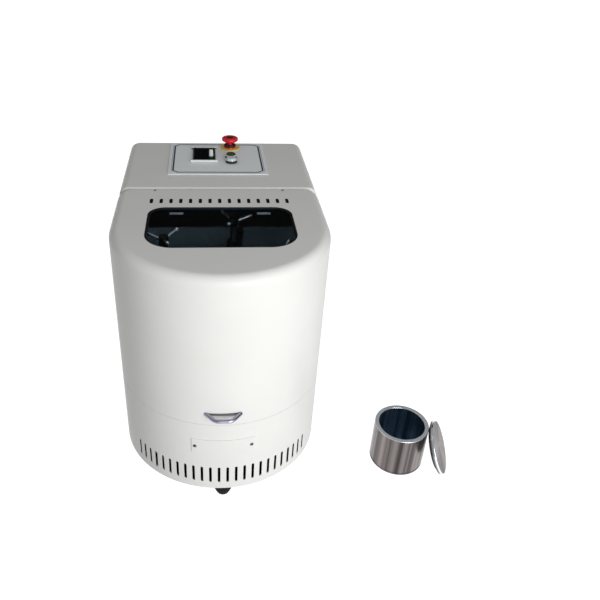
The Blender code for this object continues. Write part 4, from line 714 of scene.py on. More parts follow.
def hinge_slots(y_range, z_range):
    """A narrow cutter on each side, where a hinge leaf passes."""
    return [block((side * HINGE_SPACING / 2 - HINGE_SLOT, side * HINGE_SPACING / 2 + HINGE_SLOT),
                  y_range, z_range) for side in (-1, 1)]


print("window opening:", [round(high - low, 3) for low, high in zip(*WINDOW)])

# %% The hood: shell, window opening, vents and the slots for its hinges
def hood_mesh():
    """The hood with everything that is cut in it."""
    inner_low = body_plan(WALL, HOOD_REAR, HOOD_CORNER, WALL)
    inner_high = body_plan(TOP_FILLET / 2, HOOD_REAR, HOOD_CORNER, WALL + SPLIT_ROLL / 2)
    shell = lofted(list(reversed(rolled_top(hood_plan, HOOD_BOTTOM))) + [
        at_height(inner_low, HOOD_BOTTOM), at_height(inner_low, BODY_TOP - TOP_FILLET),
        at_height(inner_high, BODY_TOP - WALL)])
    through = (BODY_TOP - 2 * WALL, BODY_TOP + WALL)
    row = [(AXIS + Vector(((k - (VENT_COUNT - 1) / 2) * VENT_PITCH, VENT_Y, sum(through) / 2)),
            (0, 0, 0)) for k in range(VENT_COUNT)]
    window = slab(round_box(*WINDOW, WINDOW_FRONT_CORNER, WINDOW_REAR_CORNER, 16), *through)
    shell = cut_with(shell, [grown(VENTS, {"Size": 1.0}, row), window])
    shell = cut_with(shell, [block(*HOOD_OPENING)])
    shell = cut_with(shell, [block(*HOOD_DECK_ROOM)])
    return eased(cut_with(shell, hinge_slots(*HOOD_HINGE_ROOM)), CUT_EDGE)


cover_node("hood_cover", hood_mesh(), [enamel, room_black], "enamel", "hood_shell",
           pick=painted_shade_inside(0))

# %% [markdown]
# The base is a folded skirt: a wall with a flange at its top for the deck and a lip at its foot.
# A C-shaped section carried round the plan gives the fold in one piece. Its air slots are one
# cutter repeated round the front, each turned to face outwards along the ellipse.

# %% The base: a C-shaped skirt with a row of upright air slots round the front
BASE_FLANGE, BASE_LIP = 0.014, 0.012
SLOT_COUNT, SLOT_PITCH = 24, math.radians(4.76)
SLOT_WIDTH, SLOT_BOTTOM, SLOT_TOP = 0.006, 0.059, 0.107
AIR_SLOTS = copies_tree(
    "air_slots", slot_cutter(SLOT_WIDTH, SLOT_TOP - SLOT_BOTTOM, 4 * WALL), room_black)


def base_mesh():
    """The skirt with its flanges and slots."""
    section = ((0, FLOOR_CLEARANCE), (0, SLOT_BOTTOM - WALL), (0, SLOT_TOP + WALL),
               (0, BASE_TOP), (BASE_FLANGE, BASE_TOP),
               (BASE_FLANGE, BASE_TOP - WALL), (WALL, BASE_TOP - WALL),
               (WALL, FLOOR_CLEARANCE + WALL), (BASE_LIP, FLOOR_CLEARANCE + WALL),
               (BASE_LIP, FLOOR_CLEARANCE))
    skirt = lofted([at_height(body_plan(inset, BODY_REAR, REAR_CORNER, inset), height)
                    for inset, height in section], ring_of_rings=True)
    row = []
    for k in range(SLOT_COUNT):
        angle = -math.pi / 2 + (k - (SLOT_COUNT - 1) / 2) * SLOT_PITCH
        place = AXIS + Vector((BODY_WIDTH / 2 * math.cos(angle), FRONT_BULGE * math.sin(angle),
                               (SLOT_TOP + SLOT_BOTTOM) / 2))
        row.append((place, (math.pi / 2, 0, angle + math.pi / 2)))
    return eased(cut_with(skirt, [grown(AIR_SLOTS, {"Size": 1.0}, row)]), 0.0005)


cover_node("base_cover", base_mesh(), [enamel, room_black], "enamel", "base_skirt",
           pick=painted_shade_inside(0))

# %% [markdown]
# The cabinet holds the motor. It is a deep box of the same sheet, open at the bottom, towards
# the hood and at the back, where the rear panel closes it. It is lofted like the hood.

# %% The cabinet behind the hood, with its rear opening
# What is cut from it: the opening towards the hood, the rear port, and room for the deck.
CABINET_OPENING = ((-0.223, 0.223), (0.1775, 0.2015), (BELOW_SEAM, BODY_TOP - 0.022))
REAR_PORT = ((-0.175, 0.175), (0.515, 0.529), (0.300, 0.540))
CABINET_DECK_ROOM = ((-0.232, 0.232), (0.1775, 0.2015), (BELOW_SEAM, DECK_TOP + HAIR))
CABINET_HINGE_ROOM = ((0.1775, 0.2015), (BODY_TOP - 0.026, BODY_TOP - 0.005))


def cabinet_plan(inset, share):
    """A rectangle with small front corners and larger rear corners."""
    front_inset = SPLIT_ROLL * share
    half = BODY_WIDTH / 2 - inset
    return round_box((-half, CABINET_FRONT + front_inset), (half, BODY_REAR - inset),
                     max(SPLIT_ROLL - front_inset, WALL / 2), max(REAR_CORNER - inset, WALL / 2))


def cabinet_mesh():
    """The cabinet's shell, open at the bottom, the front and the rear port."""
    inner_low = cabinet_plan(WALL, WALL / SPLIT_ROLL)
    inner_high = cabinet_plan(TOP_FILLET / 2, 0.5 + WALL / SPLIT_ROLL)
    shell = lofted(list(reversed(rolled_top(cabinet_plan, HOOD_BOTTOM))) + [
        at_height(inner_low, HOOD_BOTTOM), at_height(inner_low, BODY_TOP - TOP_FILLET),
        at_height(inner_high, BODY_TOP - WALL)])
    shell = cut_with(shell, [block(*CABINET_OPENING), block(*REAR_PORT)])
    shell = cut_with(shell, [block(*CABINET_DECK_ROOM)])
    return eased(cut_with(shell, hinge_slots(*CABINET_HINGE_ROOM)), CUT_EDGE)


cover_node("cabinet_cover", cabinet_mesh(), [enamel, room_black], "enamel", "cabinet_shell",
           pick=painted_shade_inside((CABINET_FRONT + BODY_REAR) / 2))

# %% [markdown]
# ## Jars, lids and what holds them
# A grinding jar is turned from a thick bar of stainless steel. Its wall gets painted
# reflections: dark and light bands from rim to foot that stand in for what the steel mirrors.
# The bands are drawn by noise that depends only on the angle round the jar's own axis. The foot
# of the jar and the edge of the lid have a fine straight knurl.

# %% Painted reflections on steel: bands round an axis
def make_painted_reflection_group():
    """Noise that changes only with the angle round an upright axis."""
    tree, given, out = new_group(
        "painted_reflection_bands", {"Axis x": 0.0, "Axis y": 0.0, "Bands": 3.0}, {"Bands": "NodeSocketFloat"})
    x, y, _ = object_axes(tree)
    across = maths(tree, "SUBTRACT", x, given.outputs["Axis x"])
    along = maths(tree, "SUBTRACT", y, given.outputs["Axis y"])
    angle = maths(tree, "ARCTAN2", along, across)
    around = tree.nodes.new("ShaderNodeCombineXYZ")
    tree.links.new(maths(tree, "COSINE", angle), around.inputs[0])
    tree.links.new(maths(tree, "SINE", angle), around.inputs[1])
    noise = tree.nodes.new("ShaderNodeTexNoise")
    noise.inputs["Detail"].default_value = 5.0
    noise.inputs["Roughness"].default_value = 0.62
    tree.links.new(around.outputs[0], noise.inputs["Vector"])
    tree.links.new(given.outputs["Bands"], noise.inputs["Scale"])
    tree.links.new(noise.outputs["Fac"], out.inputs["Bands"])
    return tree


REFLECTION_BANDS = make_painted_reflection_group()


def steel_with_painted_reflections(name, centre, dark, light, roughness=0.26, bands=3.0):
    """Turned stainless steel with painted reflections: dark and light bands round its axis."""
    material, tree, shader = new_material(name, Metallic=1.0, Roughness=roughness, Anisotropic=0.6)
    group = placed_group(tree, REFLECTION_BANDS)
    group.inputs["Axis x"].default_value, group.inputs["Axis y"].default_value = centre[:2]
    group.inputs["Bands"].default_value = bands
    ramp = tree.nodes.new("ShaderNodeValToRGB")
    for stop, share, colour in zip(ramp.color_ramp.elements, (0.36, 0.66), (dark, light)):
        stop.position, stop.color = share, (*colour, 1)
    tree.links.new(group.outputs["Bands"], ramp.inputs["Fac"])
    tree.links.new(ramp.outputs["Color"], shader.inputs["Base Color"])
    material.diffuse_color = (*light, 1)
    return material


print("band group ready")

# %% Steel for the jar and its lid; the wall and the bore get painted reflections
jar_low, jar_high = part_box("loose_jar")
JAR_SPOT = Vector(((jar_low.x + jar_high.x) / 2, (jar_low.y + jar_high.y) / 2, 0))
jar_steel = steel_with_painted_reflections("jar_steel", JAR_SPOT, (0.040, 0.036, 0.036), (0.31, 0.275, 0.27))
rim_steel = finish_of("bright_rim", (0.80, 0.84, 0.90), 0.24, metallic=1.0, bump=0.02)
bore_steel = steel_with_painted_reflections("jar_inside", JAR_SPOT, (0.10, 0.15, 0.21), (0.46, 0.58, 0.68), 0.34, 4.0)
print("jar stands at", [round(v, 4) for v in JAR_SPOT])

# %% [markdown]
# The jar is one profile spun round its axis: along the sole, up the outside, over the rim, down
# the bore and across the floor. A lathe makes the real one in the same order. Rounded corners
# are short arcs in the profile, so no bevel is needed.

# %% Profiles of a jar and its lid, with a shallow band for the knurl
JAR_RADIUS, JAR_HEIGHT, JAR_WALL, JAR_FLOOR = 0.065, 0.113, 0.010, 0.010
LID_THICKNESS, PLUG_HEIGHT, PLUG_RADIUS = 0.009, 0.005, 0.0545
EDGE = 0.0012
FOOT_EDGE, FLOOR_EDGE, LID_FOOT_EDGE, LID_TOP_EDGE = 0.0025, 0.003, 0.0008, 0.0015
KNURL_TOP, LID_KNURL_TOP, KNURL_DEPTH, KNURL_COUNT = 0.0085, 0.0045, 0.0005, 180


def round_edge(corner, radius, first, last, steps=4):
    """Profile points round an edge, from one angle to another in degrees."""
    return arc(corner, (radius, radius), math.radians(first), math.radians(last), steps)


def jar_mesh(steps):
    """A jar with its foot on the ground and its axis at the origin."""
    outer, inner = JAR_RADIUS, JAR_RADIUS - JAR_WALL
    return turned([(0, 0)]
                  + round_edge((outer - FOOT_EDGE, FOOT_EDGE), FOOT_EDGE - KNURL_DEPTH, -90, 0)
                  + [(outer - KNURL_DEPTH, KNURL_TOP), (outer, KNURL_TOP + KNURL_DEPTH)]
                  + round_edge((outer - EDGE, JAR_HEIGHT - EDGE), EDGE, 0, 90)
                  + round_edge((inner + EDGE, JAR_HEIGHT - EDGE), EDGE, 90, 180)
                  + [(inner, JAR_FLOOR + FLOOR_EDGE)]
                  + round_edge((inner - FLOOR_EDGE, JAR_FLOOR + FLOOR_EDGE), FLOOR_EDGE, 0, -90)
                  + [(0, JAR_FLOOR)], steps)


def lid_mesh(steps, radius=JAR_RADIUS):
    """A lid with the underside of its flange at height zero and its plug below."""
    return turned([(0, -PLUG_HEIGHT), (PLUG_RADIUS - EDGE, -PLUG_HEIGHT),
                   (PLUG_RADIUS, EDGE - PLUG_HEIGHT), (PLUG_RADIUS, 0), (radius - EDGE, 0)]
                  + round_edge((radius - LID_FOOT_EDGE, LID_FOOT_EDGE),
                               LID_FOOT_EDGE - KNURL_DEPTH / 2, -90, 0, 2)
                  + [(radius - KNURL_DEPTH, LID_KNURL_TOP), (radius, LID_KNURL_TOP + KNURL_DEPTH)]
                  + round_edge((radius - LID_TOP_EDGE, LID_THICKNESS - LID_TOP_EDGE),
                               LID_TOP_EDGE, 0, 90)
                  + [(0, LID_THICKNESS)], steps)


print("a jar holds about", round(math.pi * (JAR_RADIUS - JAR_WALL) ** 2
                                * (JAR_HEIGHT - JAR_FLOOR) * 1000, 2), "litres")

# %% [markdown]
# The outside, the rim and the bore of the jar are finished differently. Each face is given its
# finish by where it lies, which is simpler than three meshes that would have to meet.

# %% The loose jar
def jar_zone(centre):
    """Which finish a face of a jar takes: outside and foot 0, rim 1, bore 2."""
    def pick(middle, normal):
        reach = math.hypot(middle.x - centre.x, middle.y - centre.y)
        height = middle.z - centre.z
        if reach > JAR_RADIUS - EDGE * 1.5 and height < JAR_HEIGHT - EDGE:
            return 0
        if height > JAR_HEIGHT - EDGE * 1.01:
            return 1
        return 0 if height < JAR_FLOOR / 2 else 2
    return pick


FINE_STEPS = 160
cover_node("turned_jar", put(jar_mesh(FINE_STEPS), JAR_SPOT), [jar_steel, rim_steel, bore_steel],
           "stainless", "loose_jar", pick=jar_zone(JAR_SPOT))

# %% [markdown]
# The loose lid rests on its edge and leans against the jar. Its place isn't typed in: the lid
# is tipped, dropped until its lowest point is on the floor, and slid until it nearly touches.

# %% The lid leans against the jar, turned to the place where the model has it
LEAN, SIDE_TURN = math.radians(24), math.radians(-20)
# The lid is a touch smaller than the model's, so that its rounded edge stays inside that one's box.
LID_SHARE = 0.9950


def leaning_matrix(mesh):
    """Where the lid goes so that it touches the floor and almost touches the jar."""
    lean = Matrix.Rotation(math.pi / 2 - LEAN, 4, "Y")
    spots = [lean @ vertex.co for vertex in mesh.vertices]
    lowest = min(spot.z for spot in spots)
    nearest = min(spot.x for spot in spots if spot.z - lowest < JAR_HEIGHT)
    shift = Matrix.Translation((JAR_RADIUS + HAIR - nearest, 0, -lowest))
    return Matrix.Translation(JAR_SPOT) @ Matrix.Rotation(SIDE_TURN, 4, "Z") @ shift @ lean


def lid_zone(place):
    """Face of the lid 0, its edge bright 1, its underside and plug painted near black as painted
    shade 2.
    """
    upright = place.inverted()

    def pick(middle, normal):
        spot = upright @ middle
        if spot.z < HAIR:
            return 2
        return int(math.hypot(spot.x, spot.y) > JAR_RADIUS - LID_RIM and spot.z > LID_RIM_BOTTOM)
    return pick


LID_RIM, LID_RIM_BOTTOM = 0.002, 0.004
loose_lid = lid_mesh(FINE_STEPS, JAR_RADIUS * LID_SHARE)
LID_PLACE = leaning_matrix(loose_lid)
# The lid's face gets painted reflections too: fan-like bands round its middle.
lid_steel = steel_with_painted_reflections("lid_face", LID_PLACE.translation, (0.060, 0.048, 0.046),
                         (0.215, 0.185, 0.18), 0.34, 1.6)
# The lid's underside is painted near black as painted shade, so the jar beside it mirrors a dark
# crescent.
underside_painted_shade = finish_of("lid_underside", (0.02, 0.02, 0.02), 0.45, metallic=0.3)
cover_node("turned_lid", put(loose_lid, LID_PLACE), [lid_steel, rim_steel, underside_painted_shade],
           "stainless", "loose_jar_lid", pick=lid_zone(LID_PLACE))

# %% [markdown]
# A knurl is rolled into the metal, so that a hand doesn't slip. It is built as one small rib
# repeated round a circle; its count, radius and rib size are inputs of the tree, so the jar and
# the lid share it.

# %% Ribs round a circle with Geometry Nodes
def rib_tree(finish):
    """A circle of upright ribs."""
    tree, given, out, sockets = node_tree_with(
        "knurl_ribs", {"Count": 180, "Radius": 0.0650, "Rib width": 0.0012, "Rib height": 0.006})
    circle = tree.nodes.new("GeometryNodeMeshCircle")
    rib = tree.nodes.new("GeometryNodeMeshCylinder")
    rib.inputs["Vertices"].default_value = 6
    copies = tree.nodes.new("GeometryNodeInstanceOnPoints")
    half = maths(tree, "MULTIPLY", given.outputs["Rib width"], 0.5)
    tree.links.new(given.outputs["Count"], circle.inputs["Vertices"])
    tree.links.new(maths(tree, "SUBTRACT", given.outputs["Radius"], half), circle.inputs["Radius"])
    tree.links.new(half, rib.inputs["Radius"])
    tree.links.new(given.outputs["Rib height"], rib.inputs["Depth"])
    tree.links.new(circle.outputs["Mesh"], copies.inputs["Points"])
    tree.links.new(rib.outputs["Mesh"], copies.inputs["Instance"])
    made_real(tree, copies, finish, out)
    return tree, sockets


def knurl(name, radius, height, middle, place, finish, node):
    """Ribs of some height round a jar or lid, with their middle at a height."""
    ribs = grown(RIBS, {"Count": KNURL_COUNT, "Radius": radius, "Rib height": height})
    show(name, put(ribs, place @ Matrix.Translation((0, 0, middle))), finish, node, "stainless")


RIBS = rib_tree(rim_steel)
knurl_steel = finish_of("knurl_steel", (0.075, 0.070, 0.072), 0.45, metallic=0.9, bump=0.0)
knurl("jar_knurl", JAR_RADIUS, 0.0055, 0.0056, Matrix.Translation(JAR_SPOT), knurl_steel,
      "loose_jar")
knurl("lid_knurl", JAR_RADIUS * LID_SHARE - HAIR, 0.0036, 0.0026, LID_PLACE, rim_steel,
      "loose_jar_lid")

# %% [markdown]
# ## The four stations
# Each station is a holder with a cup, two posts with nuts, a bridge across them and a screw
# with a three-armed handle that presses the lid down. They are seen through dark glass, so
# what counts is their bright outline: round arms with balls, a hexagonal nut, rounded bars.

# %% Sizes of a station
STATION_ANGLES = [math.radians(75 + 90 * k) for k in range(4)]
JAR_BOTTOM, LID_UNDERSIDE = 0.3229, 0.4362
HOLDER_BOTTOM, HOLDER_TOP, CUP_TOP = 0.3066, 0.3226, 0.3496
HOLDER_RADIUS, CUP_RADIUS, CUP_WALL = 0.073, 0.0655, 0.005
POST_DISTANCE, POST_RADIUS, POST_TIP, LUG_RADIUS = 0.0765, 0.0055, 0.003, 0.0075
NUT_RADIUS, NUT_HEIGHT = 0.0078, 0.008
BRIDGE_BOTTOM, BRIDGE_TOP, BRIDGE_RADIUS, BRIDGE_END = 0.4662, 0.4822, 0.017, 0.0078
SCREW_RADIUS, THREAD_DEPTH, THREAD_PITCH = 0.009, 0.0007, 0.002
PAD_RADIUS, PAD_TOP = 0.014, 0.4535
LOCK_NUT_RADIUS, LOCK_NUT_GAP, LOCK_NUT_HEIGHT = 0.017, 0.001, 0.011
HUB_BOTTOM, HUB_TOP, HUB_RADIUS = 0.5302, 0.5542, 0.011
ARM_RADIUS, ARM_REACH, BALL_RADIUS, ARM_RISE = 0.0038, 0.042, 0.0052, math.radians(18)
STAR_ANGLES = [math.radians(angle) for angle in (10, 45, 30, 55)]
EMPTY_STATION, STATION_STEPS = 3, 96
print("a jar stands", JAR_BOTTOM, "above the floor, its star handle at", HUB_TOP)

# %% Where the stations are, and two shapes that they share
def station_place(number):
    """The upright axis of a station at floor level, turned as the station stands."""
    low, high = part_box(f"jar_holder_{number}")
    middle = Matrix.Translation(((low.x + high.x) / 2, (low.y + high.y) / 2, 0))
    return middle @ Matrix.Rotation(STATION_ANGLES[number - 1], 4, "Z")


def lug_outline(middle, end, steps=24):
    """A round plate with a smaller round lug on either side."""
    lean = math.acos((middle - end) / POST_DISTANCE)
    return (arc((POST_DISTANCE, 0), (end, end), -lean, lean, steps)
            + arc((0, 0), (middle, middle), lean, math.pi - lean, steps)
            + arc((-POST_DISTANCE, 0), (end, end), math.pi - lean, math.pi + lean, steps)
            + arc((0, 0), (middle, middle), math.pi + lean, FULL_TURN - lean, steps))


def disc(radius, bottom, top, steps=48, edge=0.0):
    """A round bar with its ends eased."""
    if not edge:
        return turned([(0, bottom), (radius, bottom), (radius, top), (0, top)], steps)
    return turned([(0, bottom)] + round_edge((radius - edge, bottom + edge), edge, -90, 0, 3)
                  + round_edge((radius - edge, top - edge), edge, 0, 90, 3) + [(0, top)], steps)


for number in (1, 2, 3, 4):
    print("station", number, "at", [round(v, 3) for v in station_place(number).translation[:2]])

# %% [markdown]
# A holder is a plate with two lugs, a cup and two posts; the bridge is a bar of the same
# outline, laid over the posts. One outline with three radii therefore serves both. The holes
# in the bridge are cut a hair wider than what goes through them.

# %% Holder and bridge
def holder_mesh():
    """Cup on a lugged base, with two posts and their hexagonal nuts."""
    base = eased(slab(lug_outline(HOLDER_RADIUS, LUG_RADIUS), HOLDER_BOTTOM, HOLDER_TOP), 0.0012)
    outer = CUP_RADIUS + CUP_WALL
    cup = turned([(CUP_RADIUS, HOLDER_TOP - HAIR), (outer, HOLDER_TOP - HAIR)]
                 + round_edge((outer - EDGE, CUP_TOP - EDGE), EDGE, 0, 90, 3)
                 + round_edge((CUP_RADIUS + EDGE, CUP_TOP - EDGE), EDGE, 90, 180, 3), 72)
    parts = [base, cup]
    for side in (-POST_DISTANCE, POST_DISTANCE):
        nut = eased(disc(NUT_RADIUS, BRIDGE_TOP + HAIR, BRIDGE_TOP + NUT_HEIGHT, 6), 0.0006)
        post = disc(POST_RADIUS, HOLDER_TOP - HAIR, BRIDGE_TOP + NUT_HEIGHT + POST_TIP, 24, 0.0008)
        parts += [put(nut, Vector((side, 0, 0))), put(post, Vector((side, 0, 0)))]
    return together(parts)


def bridge_mesh():
    """A bar with round ends, a hole for the screw and one for each post."""
    bar = slab(lug_outline(BRIDGE_RADIUS, BRIDGE_END), BRIDGE_BOTTOM, BRIDGE_TOP)
    drills = [disc(SCREW_RADIUS + HAIR, BRIDGE_BOTTOM - WALL, BRIDGE_TOP + WALL)]
    drills += [put(disc(POST_RADIUS + HAIR, BRIDGE_BOTTOM - WALL, BRIDGE_TOP + WALL, 24),
                   Vector((side, 0, 0))) for side in (-POST_DISTANCE, POST_DISTANCE)]
    return eased(cut_with(bar, drills), 0.0014)


print("bridge spans", 2 * POST_DISTANCE, "between its posts")

# %% [markdown]
# The clamp screw carries a star handle: a hub with three arms that rise a little and end in
# balls. An arm and its ball are one profile, turned upright and then laid down. The thread is
# a stack of small ridges and no helix, since nobody sees the pitch climb behind dark glass.

# %% Clamp screw with its star handle
def threaded(bottom, top):
    """Profile points of a screw thread, as a row of small ridges."""
    points, count = [], int((top - bottom) / THREAD_PITCH)
    for k in range(count):
        start = bottom + (top - bottom) * k / count
        points += [(SCREW_RADIUS - THREAD_DEPTH, start), (SCREW_RADIUS, start + THREAD_PITCH / 2)]
    return points + [(SCREW_RADIUS - THREAD_DEPTH, top)]


def screw_mesh(star_angle):
    """Pad, thread, lock nut, hub and three rising arms that end in balls."""
    nut_bottom = BRIDGE_TOP + LOCK_NUT_GAP
    parts = [disc(PAD_RADIUS, LID_UNDERSIDE + LID_THICKNESS + HAIR, PAD_TOP, 48, 0.001),
             turned([(0, PAD_TOP - HAIR)] + threaded(PAD_TOP - HAIR, HUB_BOTTOM + HAIR)
                    + [(0, HUB_BOTTOM + HAIR)], 48),
             eased(disc(LOCK_NUT_RADIUS, nut_bottom, nut_bottom + LOCK_NUT_HEIGHT, 6), 0.0009),
             disc(HUB_RADIUS, HUB_BOTTOM, HUB_TOP, 48, 0.003)]
    middle = (HUB_BOTTOM + HUB_TOP) / 2
    flat = math.sqrt(BALL_RADIUS ** 2 - ARM_RADIUS ** 2)
    profile = [(0, HUB_RADIUS / 2), (ARM_RADIUS, HUB_RADIUS / 2)] + [
        (radius, ARM_REACH + height) for radius, height in
        arc((0, 0), (BALL_RADIUS, BALL_RADIUS), math.asin(-flat / BALL_RADIUS), math.pi / 2, 12)]
    profile[-1] = (0, ARM_REACH + BALL_RADIUS)
    for k in range(3):
        lie = (Matrix.Rotation(FULL_TURN * k / 3 + star_angle, 4, "Z")
               @ Matrix.Rotation(math.pi / 2 - ARM_RISE, 4, "Y"))
        parts.append(put(turned(profile, 24), Matrix.Translation((0, 0, middle)) @ lie))
    return together(parts)


print("star handle reaches", round(ARM_REACH + BALL_RADIUS, 4), "from its axis")

# %% [markdown]
# The pieces of a station are made once and copied to the four places, each turned as its
# station stands. The third holder stays empty, because its jar stands beside the mill.

# %% The four stations, one of them without a jar
def star_zone(place):
    """Arms and balls of the star are bright 0, its hub and the screw below are dark 1."""
    def pick(middle, normal):
        reach = (middle - place.translation).xy.length
        return int(middle.z < HUB_BOTTOM or reach < HUB_RADIUS + HAIR)
    return pick


holder, bridge = holder_mesh(), bridge_mesh()
station_jar = put(jar_mesh(STATION_STEPS), Vector((0, 0, JAR_BOTTOM)))
station_lid = put(lid_mesh(STATION_STEPS), Vector((0, 0, LID_UNDERSIDE)))
set_steel = finish_of("jar_set_steel", (0.22, 0.205, 0.20), 0.28, metallic=1.0, bump=0.02)
star_steel = finish_of("star_handle", (0.90, 0.92, 0.94), 0.22, metallic=0.75, bump=0.02)
for number in (1, 2, 3, 4):
    place = station_place(number)
    cover_node(f"fine_holder_{number}", put(holder.copy(), place), room_steel, "plated_steel",
               f"jar_holder_{number}")
    cover_node(f"fine_bridge_{number}", put(bridge.copy(), place), dark_steel, "dark_steel",
               f"clamp_bridge_{number}")
    screw = screw_mesh(STAR_ANGLES[number - 1] - STATION_ANGLES[number - 1])
    cover_node(f"fine_screw_{number}", put(screw, place), [star_steel, room_steel], "chrome",
               f"clamp_screw_{number}", pick=star_zone(place))
    if number != EMPTY_STATION:
        for name, node, mesh in (("station_jar", "jar", station_jar),
                                 ("station_lid", "jar_lid", station_lid)):
            cover_node(f"{name}_{number}", put(mesh.copy(), place), set_steel, "stainless",
                       f"{node}_{number}")

# %% [markdown]
# ## The control panel
# A printed sheet with a border line carries the display, the speed knob, two push buttons and
# the emergency stop. The border is ink, so it is drawn in the shader: a node group measures how
# far a point lies from a rectangle with clipped corners, and the line is where that is nought.

# %% A line that runs inside a rectangle with clipped corners
def make_line_group():
    """Mask of a border line, from Object coordinates."""
    tree, given, out = new_group(
        "border_line", {"Middle x": 0.0, "Middle y": 0.0, "Half x": 0.1, "Half y": 0.1,
                        "Clip": 0.01, "Line width": 0.003}, {"Line": "NodeSocketFloat"})
    beyond = []
    for socket, label in zip(object_axes(tree), "xy"):
        off = maths(tree, "SUBTRACT", socket, given.outputs["Middle " + label])
        off = maths(tree, "ABSOLUTE", off)
        beyond.append(maths(tree, "SUBTRACT", off, given.outputs["Half " + label]))
    corner = maths(tree, "ADD", maths(tree, "ADD", *beyond), given.outputs["Clip"])
    corner = maths(tree, "MULTIPLY", corner, math.sqrt(0.5))
    outside = maths(tree, "MAXIMUM", maths(tree, "MAXIMUM", *beyond), corner)
    half_line = maths(tree, "MULTIPLY", given.outputs["Line width"], 0.5)
    tree.links.new(maths(tree, "COMPARE", outside, 0.0, half_line), out.inputs["Line"])
    return tree


LINE = make_line_group()
print("line group inputs:", len(LINE.interface.items_tree) - 1)

# %% [markdown]
# The sheet carries two such lines, a broad blue one and a fine grey one outside it. Both are
# laid over the sheet's colour with the helper that painted the shadow on the room's wall.

# %% The printed sheet
PANEL_LOW, PANEL_HIGH = (-0.125, 0.2725), (0.125, 0.4975)
PANEL_BOTTOM, PANEL_TOP = BODY_TOP + HAIR, BODY_TOP + HAIR + 0.002
BORDER_CLIP = 0.012
# The border's broad blue line and the fine grey one outside it: inset, width and colour.
BORDER_LINES = ((0.0125, 0.0042, (0.030, 0.042, 0.085)), (0.0080, 0.0012, (0.22, 0.24, 0.28)))


def printed_sheet():
    """Silver-grey sheet with its border lines."""
    material = panel_sheet.copy()
    material.name = "printed_sheet"
    for inset, width, ink in BORDER_LINES:
        line = placed_group(material.node_tree, LINE)
        for label, value in (("Middle x", AXIS.x), ("Half x", PANEL_HIGH[0] - inset),
                             ("Middle y", AXIS.y + (PANEL_LOW[1] + PANEL_HIGH[1]) / 2),
                             ("Half y", (PANEL_HIGH[1] - PANEL_LOW[1]) / 2 - inset),
                             ("Clip", BORDER_CLIP), ("Line width", width)):
            line.inputs[label].default_value = value
        laid_over(material, line.outputs["Line"], ink)
    return material


panel = slab(round_box(PANEL_LOW, PANEL_HIGH, 0.004, 0.004), PANEL_BOTTOM, PANEL_TOP)
cover_node("panel_plate", eased(panel, 0.0005), printed_sheet(), "panel_sheet", "control_panel")

# %% [markdown]
# The display is a black frame round a sunken glossy screen. Its frame is lofted from one rounded
# outline, drawn in step by step, and two pale beads close the gap before and behind it.

# %% Display: a black frame with a sunken glossy screen between two white beads
CONTROL_BASE = PANEL_TOP + HAIR
DISPLAY_MIDDLE, DISPLAY_HALF = (-0.0345, 0.4025), (0.032, 0.0485)
DISPLAY_FRAME, DISPLAY_TOP, SCREEN_DEPTH = 0.006, CONTROL_BASE + 0.005, 0.0015
DISPLAY_CORNER, DISPLAY_EASE = 0.003, 0.0025
screen_black = finish_of("screen_black", (0.004, 0.005, 0.006), 0.12, bump=0.0, patches=0.0,
                         specular=0.1)


def display_ring(inset, height):
    """The display's outline, drawn in or out, at a height."""
    low, high = [[middle + side * (half - inset)
                  for middle, half in zip(DISPLAY_MIDDLE, DISPLAY_HALF)] for side in (-1, 1)]
    return at_height(round_box(low, high, DISPLAY_CORNER, DISPLAY_CORNER, 6), height)


frame_ring = lofted([display_ring(inset, height) for inset, height in (
    (DISPLAY_EASE, CONTROL_BASE), (DISPLAY_EASE, DISPLAY_TOP - EDGE),
    (DISPLAY_EASE + EDGE, DISPLAY_TOP), (DISPLAY_FRAME, DISPLAY_TOP),
    (DISPLAY_FRAME, DISPLAY_TOP - SCREEN_DEPTH))])
BEAD_RADIUS, BEAD_REACH, BEAD_SEEN = 0.0028, 0.0345, 0.0024
lie_along_x = Matrix.Rotation(math.pi / 2, 4, "Y")
beads = [put(disc(BEAD_RADIUS, -BEAD_REACH, BEAD_REACH, 24, 0.0008), Matrix.Translation(
    AXIS + Vector((DISPLAY_MIDDLE[0], DISPLAY_MIDDLE[1] + side * DISPLAY_HALF[1],
                   CONTROL_BASE + BEAD_RADIUS))) @ lie_along_x) for side in (-1, 1)]
white_edging = finish_of("white_bead", (0.88, 0.88, 0.88), 0.35, bump=0.0)
inner_x, inner_y = (half - DISPLAY_FRAME for half in DISPLAY_HALF)


def display_zone(middle, normal):
    """Frame 0, screen 1, the white beads before and behind it 2."""
    x, y = middle.x - AXIS.x - DISPLAY_MIDDLE[0], middle.y - AXIS.y - DISPLAY_MIDDLE[1]
    if abs(y) > DISPLAY_HALF[1] - BEAD_SEEN:
        return 2
    return int(abs(x) < inner_x / 2 and abs(y) < inner_y / 2 and middle.z < DISPLAY_TOP - EDGE)


cover_node("display_frame", together([frame_ring, *beads]),
           [black_plastic, screen_black, white_edging], "black_plastic", "speed_display",
           pick=display_zone)

# %% [markdown]
# The speed knob stands up like a small peg. Shallow flutes give the fingers hold, so each
# outline of the loft is a circle whose radius goes in and out twelve times.

# %% Speed knob: fluted, green at the foot and white above
KNOB_X, KNOB_Y, KNOB_RADIUS, KNOB_TOP_RADIUS, KNOB_HEIGHT = -0.0165, 0.3770, 0.0060, 0.0048, 0.021
KNOB_COLLAR, FLUTE_COUNT, FLUTE_DEPTH, KNOB_STEPS = 0.005, 12, 0.0005, 96
knob_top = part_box("speed_knob")[1].z
knob_foot = knob_top - KNOB_HEIGHT


def knob_ring(radius, height, flute):
    """One fluted outline of the knob."""
    ring = []
    for k in range(KNOB_STEPS):
        angle = FULL_TURN * k / KNOB_STEPS
        reach = radius - flute * (0.5 + 0.5 * math.cos(FLUTE_COUNT * angle))
        ring.append((AXIS.x + KNOB_X + reach * math.cos(angle),
                     AXIS.y + KNOB_Y + reach * math.sin(angle), height))
    return ring


